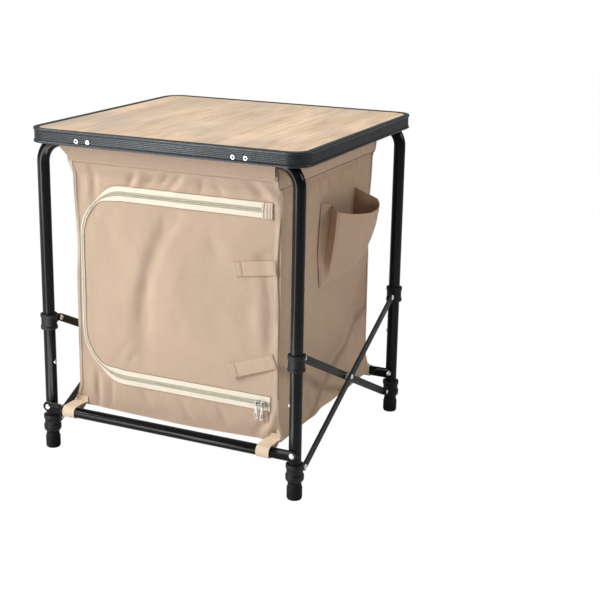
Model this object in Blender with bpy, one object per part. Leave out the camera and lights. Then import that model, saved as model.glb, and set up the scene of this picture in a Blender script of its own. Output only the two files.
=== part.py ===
# Folding camping cupboard: two inverted U frames of steel tube joined by scissor braces,
# a fabric cabinet with a zipped door and two loose shelves, and a lift-off tabletop.
# Metres, +Z up, +X to the right, the door faces -Y. The origin is at the middle of the base.

import math

import bmesh
import bpy
from mathutils import Vector
from mathutils.geometry import tessellate_polygon

# Whole object
TOTAL_HEIGHT = 0.600
TOP_WIDTH = 0.532
TOP_DEPTH = 0.508
FRAME_INSET_X = 0.019
FRAME_INSET_Y = 0.024
GAP = 0.0003

# Frame tubes and feet
TUBE_RADIUS = 0.011
TUBE_WALL = 0.0012
TUBE_BEND_RADIUS = 0.041
TUBE_SIDES = 12
RAIL_TOP_DROP = 0.0105
FOOT_RADIUS = 0.0135
FOOT_HEIGHT = 0.0295
FOOT_FLOOR = 0.006
FOOT_EDGE = 0.003
STOP_HEIGHT = 0.168
STOP_RADIUS = 0.0042
STOP_STAND = 0.0022

# Crossbars
CROSSBAR_HEIGHT = 0.0825
CROSSBAR_RADIUS = 0.0095
CROSSBAR_WALL = 0.0012
CROSSBAR_FLAT = 0.003
CROSSBAR_FLAT_HALF_HEIGHT = 0.0102
CROSSBAR_FLAT_LENGTH = 0.034
CROSSBAR_TAPER = 0.028
CROSSBAR_SLIT = 0.0004
CROSSBAR_SIDES = 12

# Scissor braces and their plastic brackets and collars
LOWER_PIVOT_HEIGHT = 0.049
UPPER_PIVOT_HEIGHT = 0.245
PIVOT_REACH = 0.028
LUG_THICKNESS = 0.006
LUG_END_RADIUS = 0.007
LUG_ROOT_HALF_HEIGHT = 0.011
BRACKET_RADIUS = 0.016
BRACKET_HEIGHT = 0.032
COLLAR_RADIUS = 0.0155
COLLAR_HEIGHT = 0.029
COLLAR_CLEARANCE = 0.0006
FITTING_RIM = 0.0012
BRACE_WIDTH = 0.014
BRACE_THICKNESS = 0.004

# Rivets and pins
PIN_RADIUS = 0.0025
PIN_HEAD_RADIUS = 0.0048
PIN_HEAD_HEIGHT = 0.0020
PIN_TAIL_RADIUS = 0.0040
PIN_TAIL_HEIGHT = 0.0014
PIN_SIDES = 8

# Tabletop
TOP_CORNER_RADIUS = 0.035
TOP_CORNER_STEPS = 6
SKIRT_HEIGHT = 0.026
SKIRT_RECESS = 0.002
SKIRT_WALL = 0.0016
BEAD_HEIGHT = 0.0045
EDGING_BEVEL = 0.0008
LIP_WIDTH = 0.010
LIP_THICKNESS = 0.0015
LEDGE_WIDTH = 0.012
LEDGE_THICKNESS = 0.0012
BOARD_THICKNESS = 0.0047
BOARD_RISE = 0.0008
CLIP_INSET_X = 0.097
CLIP_WIDTH = 0.036
CLIP_ARM = 0.0015
CLIP_SKIN = 0.0004
CLIP_DEPTH_BELOW_RAIL = 0.0045
CLIP_RIVET_SPACING = 0.023
CLIP_RIVET_DROP = 0.0165
CLIP_RIVET_RADIUS = 0.0036
CLIP_RIVET_HEAD = 0.0012
CLIP_RIVET_BORE = 0.0013
CLIP_RIVET_WELL = 0.0018
CLIP_RIVET_ROOT = 0.0012

# Fabric cabinet
CLOTH = 0.0012
SLEEVE_CLOTH = 0.0008
CABINET_INSET_X = 0.0395
CABINET_INSET_Y = 0.0255
HEM_RISE = 0.0035
SIDE_TOP_DROP = 0.012
HEM_FLARE = 0.044
DRAW_LOWER = 0.0080
DRAW_SHELF = 0.0085
DRAW_WAIST = 0.0115
DRAW_TOP = 0.0060
SIDE_RIPPLE = 0.0015
SIDE_RIPPLES = 3
SEAM_DROP = 0.0325
SEAM_INSET_Y = 0.0115
SLOPE_DROP = 0.034
SLEEVE_PAST_BEND = 0.0025
SLEEVE_END_SLANT = 0.0085
SLEEVE_END_EASE = 0.020
LOOP_WIDTH = 0.025
LOOP_INSET_X = 0.051
LOOP_HEM = 0.0065

# Door, zip and straps
HINGE_INSET = 0.0095
ZIP_LEFT_INSET = 0.0215
ZIP_END_INSET = 0.0195
ZIP_TOP_DROP = 0.022
ZIP_BOTTOM_RISE = 0.066
ZIP_CORNER_RADIUS = 0.085
ZIP_CORNER_STEPS = 6
ZIP_HALF_TAPE = 0.014
ZIP_HALF_TAPE_CURVE = 0.0036
ZIP_LAP_SHARE = 0.57
ZIP_TEETH = 0.0026
ZIP_TEETH_GAP = 0.0004
ZIP_TAPE_THICKNESS = 0.0008
ZIP_TEETH_THICKNESS = 0.0018
DOOR_BULGE = 0.004
DOOR_CUT_DEPTH = 0.005
STRAP_WIDTH = 0.025
STRAP_THICKNESS = 0.0014
STRAP_CLEARANCE = 0.0004
STRAP_SEWN_INSET = 0.0025
UPPER_STRAP_BELOW_ZIP = 0.0955
UPPER_STRAP_RUN = 0.0755
UPPER_STRAP_FALL = 0.0100
LOWER_STRAP_ABOVE_ZIP = 0.0790
LOWER_STRAP_RUN = 0.0835
LOWER_STRAP_FALL = 0.0290
SLIDER_LENGTH = 0.0095
SLIDER_WIDTH = 0.0085
SLIDER_THICKNESS = 0.0020
SLIDER_INSET = 0.024
SLIDER_PITCH = 0.0108
CROWN_RADIUS = 0.0008
CROWN_STAND = 0.0025
PULL_LENGTH = 0.030
PULL_WIDTH = 0.0052
PULL_THICKNESS = 0.0012
PULL_EYE_RADIUS = 0.0022
PULL_EYE_BORE = 0.00115
PULL_EYE_WIDTH = 0.0026
PULL_NECK = 0.004
PULL_SHOULDER = 0.003
PULL_SLOT_HALF_LENGTH = 0.0035
PULL_SLOT_RISE = 0.0075

# Rear window
WINDOW_HALF_WIDTH = 0.120
WINDOW_TOP_DROP = 0.022
WINDOW_HEIGHT = 0.132
WINDOW_CORNER_RADIUS = 0.022
WINDOW_CUT_DEPTH = 0.010
BINDING_WIDTH = 0.016
BINDING_THICKNESS = 0.0010

# Side pocket and utensil band
POCKET_FRONT_Y = -0.036
POCKET_REAR_Y = 0.120
POCKET_HEIGHT = 0.158
POCKET_TOP_DROP = 0.036
POCKET_STAND_FRONT = 0.030
POCKET_STAND_REAR = 0.050
POCKET_STAND_FOOT = 0.0024
POCKET_RIM_DIP = 0.026
POCKET_CLOTH = 0.0010
POCKET_CLEARANCE = 0.0006
BAND_HALF_LENGTH = 0.062
BAND_LOOPS = 3
BAND_STAND = 0.013
BAND_DROP = 0.052
BAND_WIDTH = 0.025
BAND_CLOTH = 0.0014
BAND_CLEARANCE = 0.0008

# Shelves
SHELF_THICKNESS = 0.005
SHELF_MARGIN_Y = 0.0055
BOTTOM_SHELF_FRONT_MARGIN = 0.0125
BOTTOM_SHELF_RISE = 0.0138
MIDDLE_SHELF_DROP = 0.189
SHELF_CORNER_RADIUS = 0.006

BLACK_STEEL = ((0.018, 0.018, 0.019), 0.38, 0.55)
BLACK_PLASTIC = ((0.022, 0.022, 0.023), 0.50, 0.0)
BLACK_RUBBER = ((0.020, 0.020, 0.020), 0.75, 0.0)
BLACK_ALUMINIUM = ((0.020, 0.021, 0.022), 0.34, 0.7)
NICKEL = ((0.62, 0.61, 0.58), 0.28, 1.0)
BEIGE_CANVAS = ((0.50, 0.36, 0.25), 0.85, 0.0)
CREAM_TAPE = ((0.66, 0.58, 0.45), 0.80, 0.0)
BLACK_TAPE = ((0.02, 0.02, 0.02), 0.80, 0.0)
LIGHT_OAK = ((0.55, 0.38, 0.23), 0.45, 0.0)
GREY_BOARD = ((0.075, 0.08, 0.075), 0.40, 0.0)

HALF_X = TOP_WIDTH / 2 - FRAME_INSET_X
HALF_Y = TOP_DEPTH / 2 - FRAME_INSET_Y
RAIL_HEIGHT = TOTAL_HEIGHT - RAIL_TOP_DROP - TUBE_RADIUS
LUG_Y = HALF_Y - PIVOT_REACH
BRACE_ANGLE = math.atan2(UPPER_PIVOT_HEIGHT - LOWER_PIVOT_HEIGHT, 2 * LUG_Y)
BRACE_LENGTH = math.hypot(UPPER_PIVOT_HEIGHT - LOWER_PIVOT_HEIGHT, 2 * LUG_Y)
BRACE_INNER_FACE = LUG_THICKNESS / 2 + GAP
BRACE_OUTER_FACE = BRACE_INNER_FACE + BRACE_THICKNESS
PIN_HOLE_RADIUS = PIN_RADIUS + GAP
SLEEVE_RADIUS = TUBE_RADIUS + GAP + SLEEVE_CLOTH
CROSSBAR_AXIS_OFFSET = TUBE_RADIUS + GAP + CROSSBAR_FLAT / 2
CLIP_OFFSET_X = HALF_X - CLIP_INSET_X
CLIP_RIVET_HEIGHT = TOTAL_HEIGHT - CLIP_RIVET_DROP
CABINET_HALF_WIDTH = HALF_X - CABINET_INSET_X
CABINET_HALF_DEPTH = HALF_Y - CABINET_INSET_Y
CABINET_BOTTOM = CROSSBAR_HEIGHT + HEM_RISE
SIDE_TOP = TOTAL_HEIGHT - SIDE_TOP_DROP
SEAM_HEIGHT = RAIL_HEIGHT - SEAM_DROP
SEAM_HALF_DEPTH = HALF_Y - SEAM_INSET_Y
SLOPE_BOTTOM = SEAM_HEIGHT - SLOPE_DROP
LOOP_OFFSET_X = HALF_X - LOOP_INSET_X
HINGE_X = CABINET_HALF_WIDTH - HINGE_INSET
ZIP_LEFT = CABINET_HALF_WIDTH - ZIP_LEFT_INSET
ZIP_END_X = CABINET_HALF_WIDTH - ZIP_END_INSET
ZIP_TOP = SLOPE_BOTTOM - ZIP_TOP_DROP
ZIP_BOTTOM = CABINET_BOTTOM + ZIP_BOTTOM_RISE
SLIDER_X = ZIP_END_X - SLIDER_INSET
WINDOW_TOP = SLOPE_BOTTOM - WINDOW_TOP_DROP
WINDOW_BOTTOM = WINDOW_TOP - WINDOW_HEIGHT
POCKET_SEAM_TOP = SLOPE_BOTTOM - POCKET_TOP_DROP
POCKET_BOTTOM = POCKET_SEAM_TOP - POCKET_HEIGHT
BAND_HEIGHT = SLOPE_BOTTOM - BAND_DROP
SHELF_REAR_Y = CABINET_HALF_DEPTH - SHELF_MARGIN_Y
MIDDLE_SHELF_FRONT_Y = -SHELF_REAR_Y
BOTTOM_SHELF_FRONT_Y = BOTTOM_SHELF_FRONT_MARGIN - CABINET_HALF_DEPTH
BOTTOM_SHELF_TOP = CABINET_BOTTOM + BOTTOM_SHELF_RISE
ZIP_FACE = CABINET_HALF_DEPTH + CLOTH / 2 + GAP
SLIDER_FACE = ZIP_FACE + ZIP_TEETH_THICKNESS + GAP
CROWN_Y = SLIDER_FACE + SLIDER_THICKNESS + CROWN_STAND
MIDDLE_SHELF_TOP = SLOPE_BOTTOM - MIDDLE_SHELF_DROP
FLOOR_TOP = BOTTOM_SHELF_TOP - SHELF_THICKNESS - GAP
SLING_TOP = MIDDLE_SHELF_TOP - SHELF_THICKNESS - GAP
DRAW_AT_SHELF = DRAW_SHELF + SIDE_RIPPLE
SHELF_HALF_WIDTH = CABINET_HALF_WIDTH - DRAW_AT_SHELF - CLOTH / 2 - 2 * GAP
SLEEVE_HALF_LENGTH = HALF_X - TUBE_BEND_RADIUS + SLEEVE_PAST_BEND
ZIP_LAP = ZIP_HALF_TAPE * ZIP_LAP_SHARE


def clear_scene():
    for item in list(bpy.data.objects):
        bpy.data.objects.remove(item, do_unlink=True)


def paint(name, finish):
    colour, roughness, metallic = finish
    material = bpy.data.materials.new(name + "_finish")
    material.use_nodes = True
    shader = material.node_tree.nodes["Principled BSDF"]
    shader.inputs["Base Color"].default_value = (*colour, 1.0)
    shader.inputs["Roughness"].default_value = roughness
    shader.inputs["Metallic"].default_value = metallic
    return material


def carrier(name, pivot, parent=None):
    empty = bpy.data.objects.new(name, None)
    empty.empty_display_size = 0.02
    empty.location = Vector(pivot)
    if parent is not None:
        empty.parent = parent
        empty.location = Vector(pivot) - world_place(parent)
    bpy.context.scene.collection.objects.link(empty)
    return empty


def world_place(item):
    place = Vector(item.location)
    while item.parent is not None:
        item = item.parent
        place += item.location
    return place


def mesh_from(name, shape, shift=(0.0, 0.0, 0.0)):
    points, faces = shape
    mesh = bpy.data.meshes.new(name)
    mesh.from_pydata([Vector(p) - Vector(shift) for p in points], [], faces)
    bm = bmesh.new()
    bm.from_mesh(mesh)
    bmesh.ops.recalc_face_normals(bm, faces=bm.faces)
    bm.to_mesh(mesh)
    bm.free()
    mesh.shade_smooth()
    mesh.set_sharp_from_angle(angle=math.radians(35))
    return mesh


def piece(name, shape, body, finish):
    mesh = mesh_from(name, shape, world_place(body))
    mesh.materials.append(paint(name, finish))
    item = bpy.data.objects.new(name, mesh)
    item.parent = body
    bpy.context.scene.collection.objects.link(item)
    return item


def helper(name, shape):
    item = bpy.data.objects.new(name, mesh_from(name, shape))
    item.hide_render = True
    item.display_type = "WIRE"
    bpy.context.scene.collection.objects.link(item)
    return item


def combine(item, operand, operation):
    step = item.modifiers.new(operand.name, "BOOLEAN")
    step.object = operand
    step.operation = operation
    step.solver = "EXACT"


def joined(shapes):
    points, faces = [], []
    for shape_points, shape_faces in shapes:
        start = len(points)
        points += list(shape_points)
        faces += [[start + i for i in face] for face in shape_faces]
    return points, faces


def turned(profile, centre, axis, sides, hollow=False):
    # Revolves (radius, height) points round an axis. A hollow profile closes on itself.
    axis = Vector(axis).normalized()
    first = axis.orthogonal().normalized()
    second = axis.cross(first)
    points, rings, faces = [], [], []
    for radius, height in profile:
        base = Vector(centre) + axis * height
        if radius <= 0.0:
            rings.append([len(points)])
            points.append(base)
            continue
        ring = []
        for k in range(sides):
            turn = 2 * math.pi * k / sides
            ring.append(len(points))
            points.append(base + first * radius * math.cos(turn) + second * radius * math.sin(turn))
        rings.append(ring)
    pairs = list(zip(rings, rings[1:]))
    if hollow:
        pairs.append((rings[-1], rings[0]))
    for low, high in pairs:
        for k in range(sides):
            following = (k + 1) % sides
            if len(low) == 1:
                faces.append([low[0], high[k], high[following]])
            elif len(high) == 1:
                faces.append([low[k], low[following], high[0]])
            else:
                faces.append([low[k], low[following], high[following], high[k]])
    return points, faces


def prism(loops, near, far):
    # Joins two copies of a flat outline with holes. near and far place an outline point in space.
    flat = [point for loop in loops for point in loop]
    points = [near(u, v) for u, v in flat] + [far(u, v) for u, v in flat]
    count = len(flat)
    triangles = tessellate_polygon([[Vector((u, v, 0.0)) for u, v in loop] for loop in loops])
    faces = [list(triangle) for triangle in triangles]
    faces += [[i + count for i in reversed(triangle)] for triangle in triangles]
    start = 0
    for loop in loops:
        for i in range(len(loop)):
            a = start + i
            b = start + (i + 1) % len(loop)
            faces.append([a, b, b + count, a + count])
        start += len(loop)
    return points, faces


def sheet(columns, rows, place, thickness):
    # A thin sheet whose middle surface is place(u, v), with u and v from 0 to 1.
    step = 1e-3
    front, back = [], []
    for row in range(rows + 1):
        for column in range(columns + 1):
            u = column / columns
            v = row / rows
            middle = Vector(place(u, v))
            along = Vector(place(min(u + step, 1), v)) - Vector(place(max(u - step, 0), v))
            across = Vector(place(u, min(v + step, 1))) - Vector(place(u, max(v - step, 0)))
            normal = along.cross(across).normalized()
            front.append(middle + normal * thickness / 2)
            back.append(middle - normal * thickness / 2)
    count = len(front)
    width = columns + 1
    faces = []
    for row in range(rows):
        for column in range(columns):
            a = row * width + column
            faces.append([a, a + 1, a + width + 1, a + width])
            faces.append([count + a, count + a + width, count + a + width + 1, count + a + 1])
    edge = list(range(columns)) + [columns + width * row for row in range(rows)]
    edge += [rows * width + column for column in range(columns, 0, -1)]
    edge += [width * row for row in range(rows, 0, -1)]
    for i, a in enumerate(edge):
        b = edge[(i + 1) % len(edge)]
        faces.append([a, b, count + b, count + a])
    return front + back, faces


def arc(centre, radius, start, end, steps):
    turns = [start + (end - start) * k / steps for k in range(steps + 1)]
    return [(centre[0] + radius * math.cos(t), centre[1] + radius * math.sin(t)) for t in turns]


def rounded_rectangle(half_u, half_v, radius, steps):
    outline = []
    for quarter, (su, sv) in enumerate([(1, 1), (-1, 1), (-1, -1), (1, -1)]):
        start = quarter * math.pi / 2
        centre = (su * (half_u - radius), sv * (half_v - radius))
        outline += arc(centre, radius, start, start + math.pi / 2, steps)
    return outline


def circle(centre, radius, sides):
    return arc(centre, radius, 0.0, 2 * math.pi * (sides - 1) / sides, sides - 1)


def teardrop(centre, radius, apex, steps):
    # A circle and the two lines that touch it from the apex, starting and ending beside the apex.
    reach = Vector(apex) - Vector(centre)
    heading = math.atan2(reach.y, reach.x)
    touch = math.acos(radius / reach.length)
    return arc(centre, radius, heading + touch, heading + 2 * math.pi - touch, steps)


def frame_path():
    # Centreline of the inverted U in X and Z, with the direction that points out of the bend.
    top = RAIL_HEIGHT
    bend = TUBE_BEND_RADIUS
    stations = [((-HALF_X, FOOT_FLOOR + GAP), math.pi)]
    corners = [((-HALF_X + bend, top - bend), math.pi), ((HALF_X - bend, top - bend), math.pi / 2)]
    steps = 6
    for centre, start in corners:
        for k in range(steps + 1):
            turn = start - math.pi / 2 * k / steps
            point = (centre[0] + bend * math.cos(turn), centre[1] + bend * math.sin(turn))
            stations.append((point, turn))
    stations.append(((HALF_X, FOOT_FLOOR + GAP), 0.0))
    return stations


def frame_tube_shape(y):
    points, faces = [], []
    stations = frame_path()
    for radius in (TUBE_RADIUS, TUBE_RADIUS - TUBE_WALL):
        for (x, z), out in stations:
            for k in range(TUBE_SIDES):
                turn = 2 * math.pi * (k + 0.5) / TUBE_SIDES
                side = radius * math.cos(turn)
                across = radius * math.sin(turn)
                points.append((x + side * math.cos(out), y + across, z + side * math.sin(out)))
    ring_count = len(stations)
    skin = ring_count * TUBE_SIDES
    for layer in (0, skin):
        for ring in range(ring_count - 1):
            for k in range(TUBE_SIDES):
                a = layer + ring * TUBE_SIDES + k
                b = layer + ring * TUBE_SIDES + (k + 1) % TUBE_SIDES
                faces.append([a, b, b + TUBE_SIDES, a + TUBE_SIDES])
    for ring in (0, ring_count - 1):
        for k in range(TUBE_SIDES):
            a = ring * TUBE_SIDES + k
            b = ring * TUBE_SIDES + (k + 1) % TUBE_SIDES
            faces.append([a, b, b + skin, a + skin])
    return points, faces


def build_frame_tube(name, y, body):
    tube = piece(name, frame_tube_shape(y), body, BLACK_STEEL)
    wall_middle = TUBE_RADIUS - TUBE_WALL / 2
    holes, stops = [], []
    for side in (-1, 1):
        start = (side * HALF_X, y - TUBE_RADIUS - GAP, CROSSBAR_HEIGHT)
        depth = TUBE_WALL + 4 * GAP
        bore = [(0, 0), (PIN_HOLE_RADIUS, 0), (PIN_HOLE_RADIUS, depth), (0, depth)]
        holes.append(turned(bore, start, (0, 1, 0), PIN_SIDES))
        root = (side * (HALF_X - wall_middle), y, STOP_HEIGHT)
        reach = TUBE_WALL / 2 + STOP_STAND
        button = [(0, 0), (STOP_RADIUS * 0.6, 0), (STOP_RADIUS * 0.6, reach / 2), (STOP_RADIUS, reach / 2)]
        button += [(STOP_RADIUS * 0.8, reach * 0.85), (0, reach)]
        stops.append(turned(button, root, (-side, 0, 0), PIN_SIDES))
    combine(tube, helper(name + "_rivet_holes", joined(holes)), "DIFFERENCE")
    combine(tube, helper(name + "_stop_rivets", joined(stops)), "UNION")


def crossbar_stations():
    # Distance along X, half height and half thickness from the middle to one flattened tip.
    tip = HALF_X + CROSSBAR_FLAT_HALF_HEIGHT
    flat_start = HALF_X + CROSSBAR_FLAT_HALF_HEIGHT - CROSSBAR_FLAT_LENGTH
    taper_start = flat_start - CROSSBAR_TAPER
    high = CROSSBAR_FLAT_HALF_HEIGHT
    thin = CROSSBAR_FLAT / 2
    stations = [(taper_start, CROSSBAR_RADIUS, CROSSBAR_RADIUS)]
    for t in (0.35, 0.7):
        ease = t * t * (3 - 2 * t)
        tall = CROSSBAR_RADIUS + (high - CROSSBAR_RADIUS) * ease
        slim = CROSSBAR_RADIUS + (thin - CROSSBAR_RADIUS) * ease
        stations.append((taper_start + CROSSBAR_TAPER * t, tall, slim))
    stations.append((flat_start, high, thin))
    for degrees in (0, 35, 65):
        turn = math.radians(degrees)
        stations.append((tip - high + high * math.sin(turn), high * math.cos(turn), thin))
    return stations


def crossbar_shape(y):
    half = crossbar_stations()
    stations = [(-x, tall, slim) for x, tall, slim in reversed(half)] + half
    points, faces = [], []
    sides = CROSSBAR_SIDES
    for inner in (False, True):
        for x, tall, slim in stations:
            if inner:
                tall = tall - CROSSBAR_WALL
                slim = max(slim - CROSSBAR_WALL, CROSSBAR_SLIT / 2)
            for k in range(sides):
                turn = 2 * math.pi * (k + 0.5) / sides
                points.append((x, y + slim * math.cos(turn), CROSSBAR_HEIGHT + tall * math.sin(turn)))
    skin = len(stations) * sides
    for layer in (0, skin):
        for ring in range(len(stations) - 1):
            for k in range(sides):
                a = layer + ring * sides + k
                b = layer + ring * sides + (k + 1) % sides
                faces.append([a, b, b + sides, a + sides])
    for ring in (0, len(stations) - 1):
        for k in range(sides):
            a = ring * sides + k
            b = ring * sides + (k + 1) % sides
            faces.append([a, b, b + skin, a + skin])
    return points, faces


def build_crossbar(name, leg_y, body):
    y = leg_y - CROSSBAR_AXIS_OFFSET
    bar = piece(name, crossbar_shape(y), body, BLACK_STEEL)
    rivets = []
    head = CROSSBAR_FLAT / 2 + PIN_HEAD_HEIGHT
    profile = [(0, -head), (PIN_HEAD_RADIUS * 0.6, -head), (PIN_HEAD_RADIUS, -head + PIN_HEAD_HEIGHT * 0.6)]
    profile += [(PIN_HEAD_RADIUS, -CROSSBAR_FLAT / 4), (PIN_RADIUS, -CROSSBAR_FLAT / 4)]
    profile += [(PIN_RADIUS, CROSSBAR_FLAT / 2 + TUBE_WALL), (0, CROSSBAR_FLAT / 2 + TUBE_WALL)]
    for side in (-1, 1):
        rivets.append(turned(profile, (side * HALF_X, y, CROSSBAR_HEIGHT), (0, 1, 0), PIN_SIDES))
    combine(bar, helper(name + "_rivets", joined(rivets)), "UNION")


def build_foot(name, x, y, body):
    bore = TUBE_RADIUS + GAP
    profile = [(0, 0), (FOOT_RADIUS - FOOT_EDGE, 0), (FOOT_RADIUS, FOOT_EDGE)]
    profile += [(FOOT_RADIUS, FOOT_HEIGHT * 0.8), (FOOT_RADIUS - FOOT_EDGE * 0.35, FOOT_HEIGHT)]
    profile += [(bore, FOOT_HEIGHT), (bore, FOOT_FLOOR), (0, FOOT_FLOOR)]
    piece(name, turned(profile, (x, y, 0), (0, 0, 1), 16), body, BLACK_RUBBER)


def build_leg_fitting(name, x, y, pivot_height, radius, height, bore, body):
    # A sleeve round the leg with a lug that reaches towards the other frame.
    inward = -1 if y > 0 else 1
    half = height / 2
    rim = FITTING_RIM
    band = height * 0.2
    profile = [(bore, -half), (radius - rim, -half), (radius, -half + rim), (radius, -half + band)]
    profile += [(radius - rim, -half + band + rim), (radius - rim, half - band - rim)]
    profile += [(radius, half - band), (radius, half - rim), (radius - rim, half), (bore, half)]
    sleeve = turned(profile, (x, y, pivot_height), (0, 0, 1), 16, hollow=True)
    fitting = piece(name, sleeve, body, BLACK_PLASTIC)
    root = (bore + radius) / 2
    nose = arc((PIVOT_REACH, 0), LUG_END_RADIUS, -math.pi / 2, math.pi / 2, 6)
    outline = [(root, -LUG_ROOT_HALF_HEIGHT)] + nose + [(root, LUG_ROOT_HALF_HEIGHT)]
    hole = circle((PIVOT_REACH, 0), PIN_HOLE_RADIUS, PIN_SIDES)

    def flank(side):
        return lambda u, v: (x + side * LUG_THICKNESS / 2, y + inward * u, pivot_height + v)

    lug = prism([outline, hole], flank(-1), flank(1))
    combine(fitting, helper(name + "_lug", lug), "UNION")


def brace_outline():
    half = BRACE_LENGTH / 2
    outline = arc((half, 0), BRACE_WIDTH / 2, -math.pi / 2, math.pi / 2, 6)
    outline += arc((-half, 0), BRACE_WIDTH / 2, math.pi / 2, 3 * math.pi / 2, 6)
    holes = [circle((u, 0), PIN_HOLE_RADIUS, PIN_SIDES) for u in (-half, 0, half)]
    return [outline] + holes


def build_brace(name, side, outer, body):
    # The outer bar climbs from the front lower lug, the inner bar climbs from the rear one.
    slope = BRACE_ANGLE if outer else math.pi - BRACE_ANGLE
    layer = 1 if outer else -1
    near = side * HALF_X + side * layer * BRACE_INNER_FACE
    far = side * HALF_X + side * layer * BRACE_OUTER_FACE
    middle = (LOWER_PIVOT_HEIGHT + UPPER_PIVOT_HEIGHT) / 2

    def face(x):
        def place(u, v):
            y = u * math.cos(slope) - v * math.sin(slope)
            z = middle + u * math.sin(slope) + v * math.cos(slope)
            return (x, y, z)
        return place

    piece(name, prism(brace_outline(), face(near), face(far)), body, BLACK_STEEL)


def end_pin_profile():
    # Runs from the tail on the lug's far face to the head on the brace's outer face.
    tail = -LUG_THICKNESS / 2 - GAP
    head = BRACE_OUTER_FACE + GAP
    profile = [(0, tail - PIN_TAIL_HEIGHT), (PIN_TAIL_RADIUS * 0.7, tail - PIN_TAIL_HEIGHT)]
    profile += [(PIN_TAIL_RADIUS, tail), (PIN_RADIUS, tail), (PIN_RADIUS, head), (PIN_HEAD_RADIUS, head)]
    profile += [(PIN_HEAD_RADIUS * 0.6, head + PIN_HEAD_HEIGHT), (0, head + PIN_HEAD_HEIGHT)]
    return profile


def build_end_pin(name, side, outer, y, z, body):
    axis = (side if outer else -side, 0, 0)
    shape = turned(end_pin_profile(), (side * HALF_X, y, z), axis, PIN_SIDES)
    piece(name, shape, body, NICKEL)


def build_centre_pin(name, side, body):
    head = BRACE_OUTER_FACE + GAP
    collar = LUG_THICKNESS / 2
    profile = [(0, -head - PIN_HEAD_HEIGHT), (PIN_HEAD_RADIUS * 0.6, -head - PIN_HEAD_HEIGHT)]
    profile += [(PIN_HEAD_RADIUS, -head), (PIN_RADIUS, -head), (PIN_RADIUS, -collar)]
    profile += [(PIN_HEAD_RADIUS, -collar)]
    profile += [(radius, -height) for radius, height in reversed(profile)]
    middle = (LOWER_PIVOT_HEIGHT + UPPER_PIVOT_HEIGHT) / 2
    piece(name, turned(profile, (side * HALF_X, 0, middle), (side, 0, 0), PIN_SIDES), body, NICKEL)


def top_outline(inset):
    half_x = TOP_WIDTH / 2 - inset
    half_y = TOP_DEPTH / 2 - inset
    return rounded_rectangle(half_x, half_y, TOP_CORNER_RADIUS - inset, TOP_CORNER_STEPS)


def edging_profile():
    # Inset from the outer face and height, once round the extrusion's section.
    top = TOTAL_HEIGHT
    bottom = TOTAL_HEIGHT - SKIRT_HEIGHT
    wall = SKIRT_RECESS + SKIRT_WALL
    ledge = board_bottom() - GAP
    bevel = EDGING_BEVEL
    section = [(0, top - bevel), (0, top - BEAD_HEIGHT), (SKIRT_RECESS, top - BEAD_HEIGHT - bevel)]
    section += [(SKIRT_RECESS, bottom + BEAD_HEIGHT + bevel), (0, bottom + BEAD_HEIGHT), (0, bottom)]
    section += [(wall, bottom), (wall, ledge - LEDGE_THICKNESS), (LEDGE_WIDTH, ledge - LEDGE_THICKNESS)]
    section += [(LEDGE_WIDTH, ledge), (wall, ledge), (wall, top - LIP_THICKNESS)]
    section += [(LIP_WIDTH, top - LIP_THICKNESS), (LIP_WIDTH, top - bevel), (LIP_WIDTH - bevel, top)]
    section += [(bevel, top)]
    return section


def board_bottom():
    return TOTAL_HEIGHT - LIP_THICKNESS - GAP - BOARD_THICKNESS


def stacked(levels, capped):
    # Joins outlines of equal count, each given as (inset, height), into one solid.
    points, faces = [], []
    count = 0
    for inset, height in levels:
        outline = top_outline(inset)
        count = len(outline)
        points += [(x, y, height) for x, y in outline]
    pairs = list(zip(range(len(levels)), range(1, len(levels))))
    if capped:
        faces.append(list(range(count)))
        faces.append(list(range(len(points) - count, len(points))))
    else:
        pairs.append((len(levels) - 1, 0))
    for low, high in pairs:
        for k in range(count):
            following = (k + 1) % count
            bottom = [low * count + k, low * count + following]
            faces.append(bottom + [high * count + following, high * count + k])
    return points, faces


def build_tabletop(body):
    low = board_bottom()
    tongue = low + BOARD_THICKNESS
    tongue_inset = SKIRT_RECESS + SKIRT_WALL + GAP
    face_inset = LIP_WIDTH + GAP
    levels = [(tongue_inset, low), (tongue_inset, tongue)]
    levels += [(face_inset, tongue), (face_inset, tongue + BOARD_RISE)]
    piece("tabletop_board", stacked(levels, True), body, LIGHT_OAK)
    edging = piece("tabletop_edging", stacked(edging_profile(), False), body, BLACK_ALUMINIUM)
    holes = []
    for side in (-1, 1):
        for x in clip_rivet_places():
            start = (x, side * (TOP_DEPTH / 2 + GAP), CLIP_RIVET_HEIGHT)
            depth = SKIRT_RECESS + SKIRT_WALL + 3 * GAP
            bore = [(0, 0), (PIN_HOLE_RADIUS, 0), (PIN_HOLE_RADIUS, depth), (0, depth)]
            holes.append(turned(bore, start, (0, -side, 0), PIN_SIDES))
    combine(edging, helper("edging_rivet_holes", joined(holes)), "DIFFERENCE")
    for side, place in ((-1, "front"), (1, "rear")):
        for x, hand in ((-CLIP_OFFSET_X, "left"), (CLIP_OFFSET_X, "right")):
            build_clip("tabletop_clip_" + place + "_" + hand, x, side, body)


def clip_rivet_places():
    middles = (-CLIP_OFFSET_X, CLIP_OFFSET_X)
    return [x + shift * CLIP_RIVET_SPACING / 2 for x in middles for shift in (-1, 1)]


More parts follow.
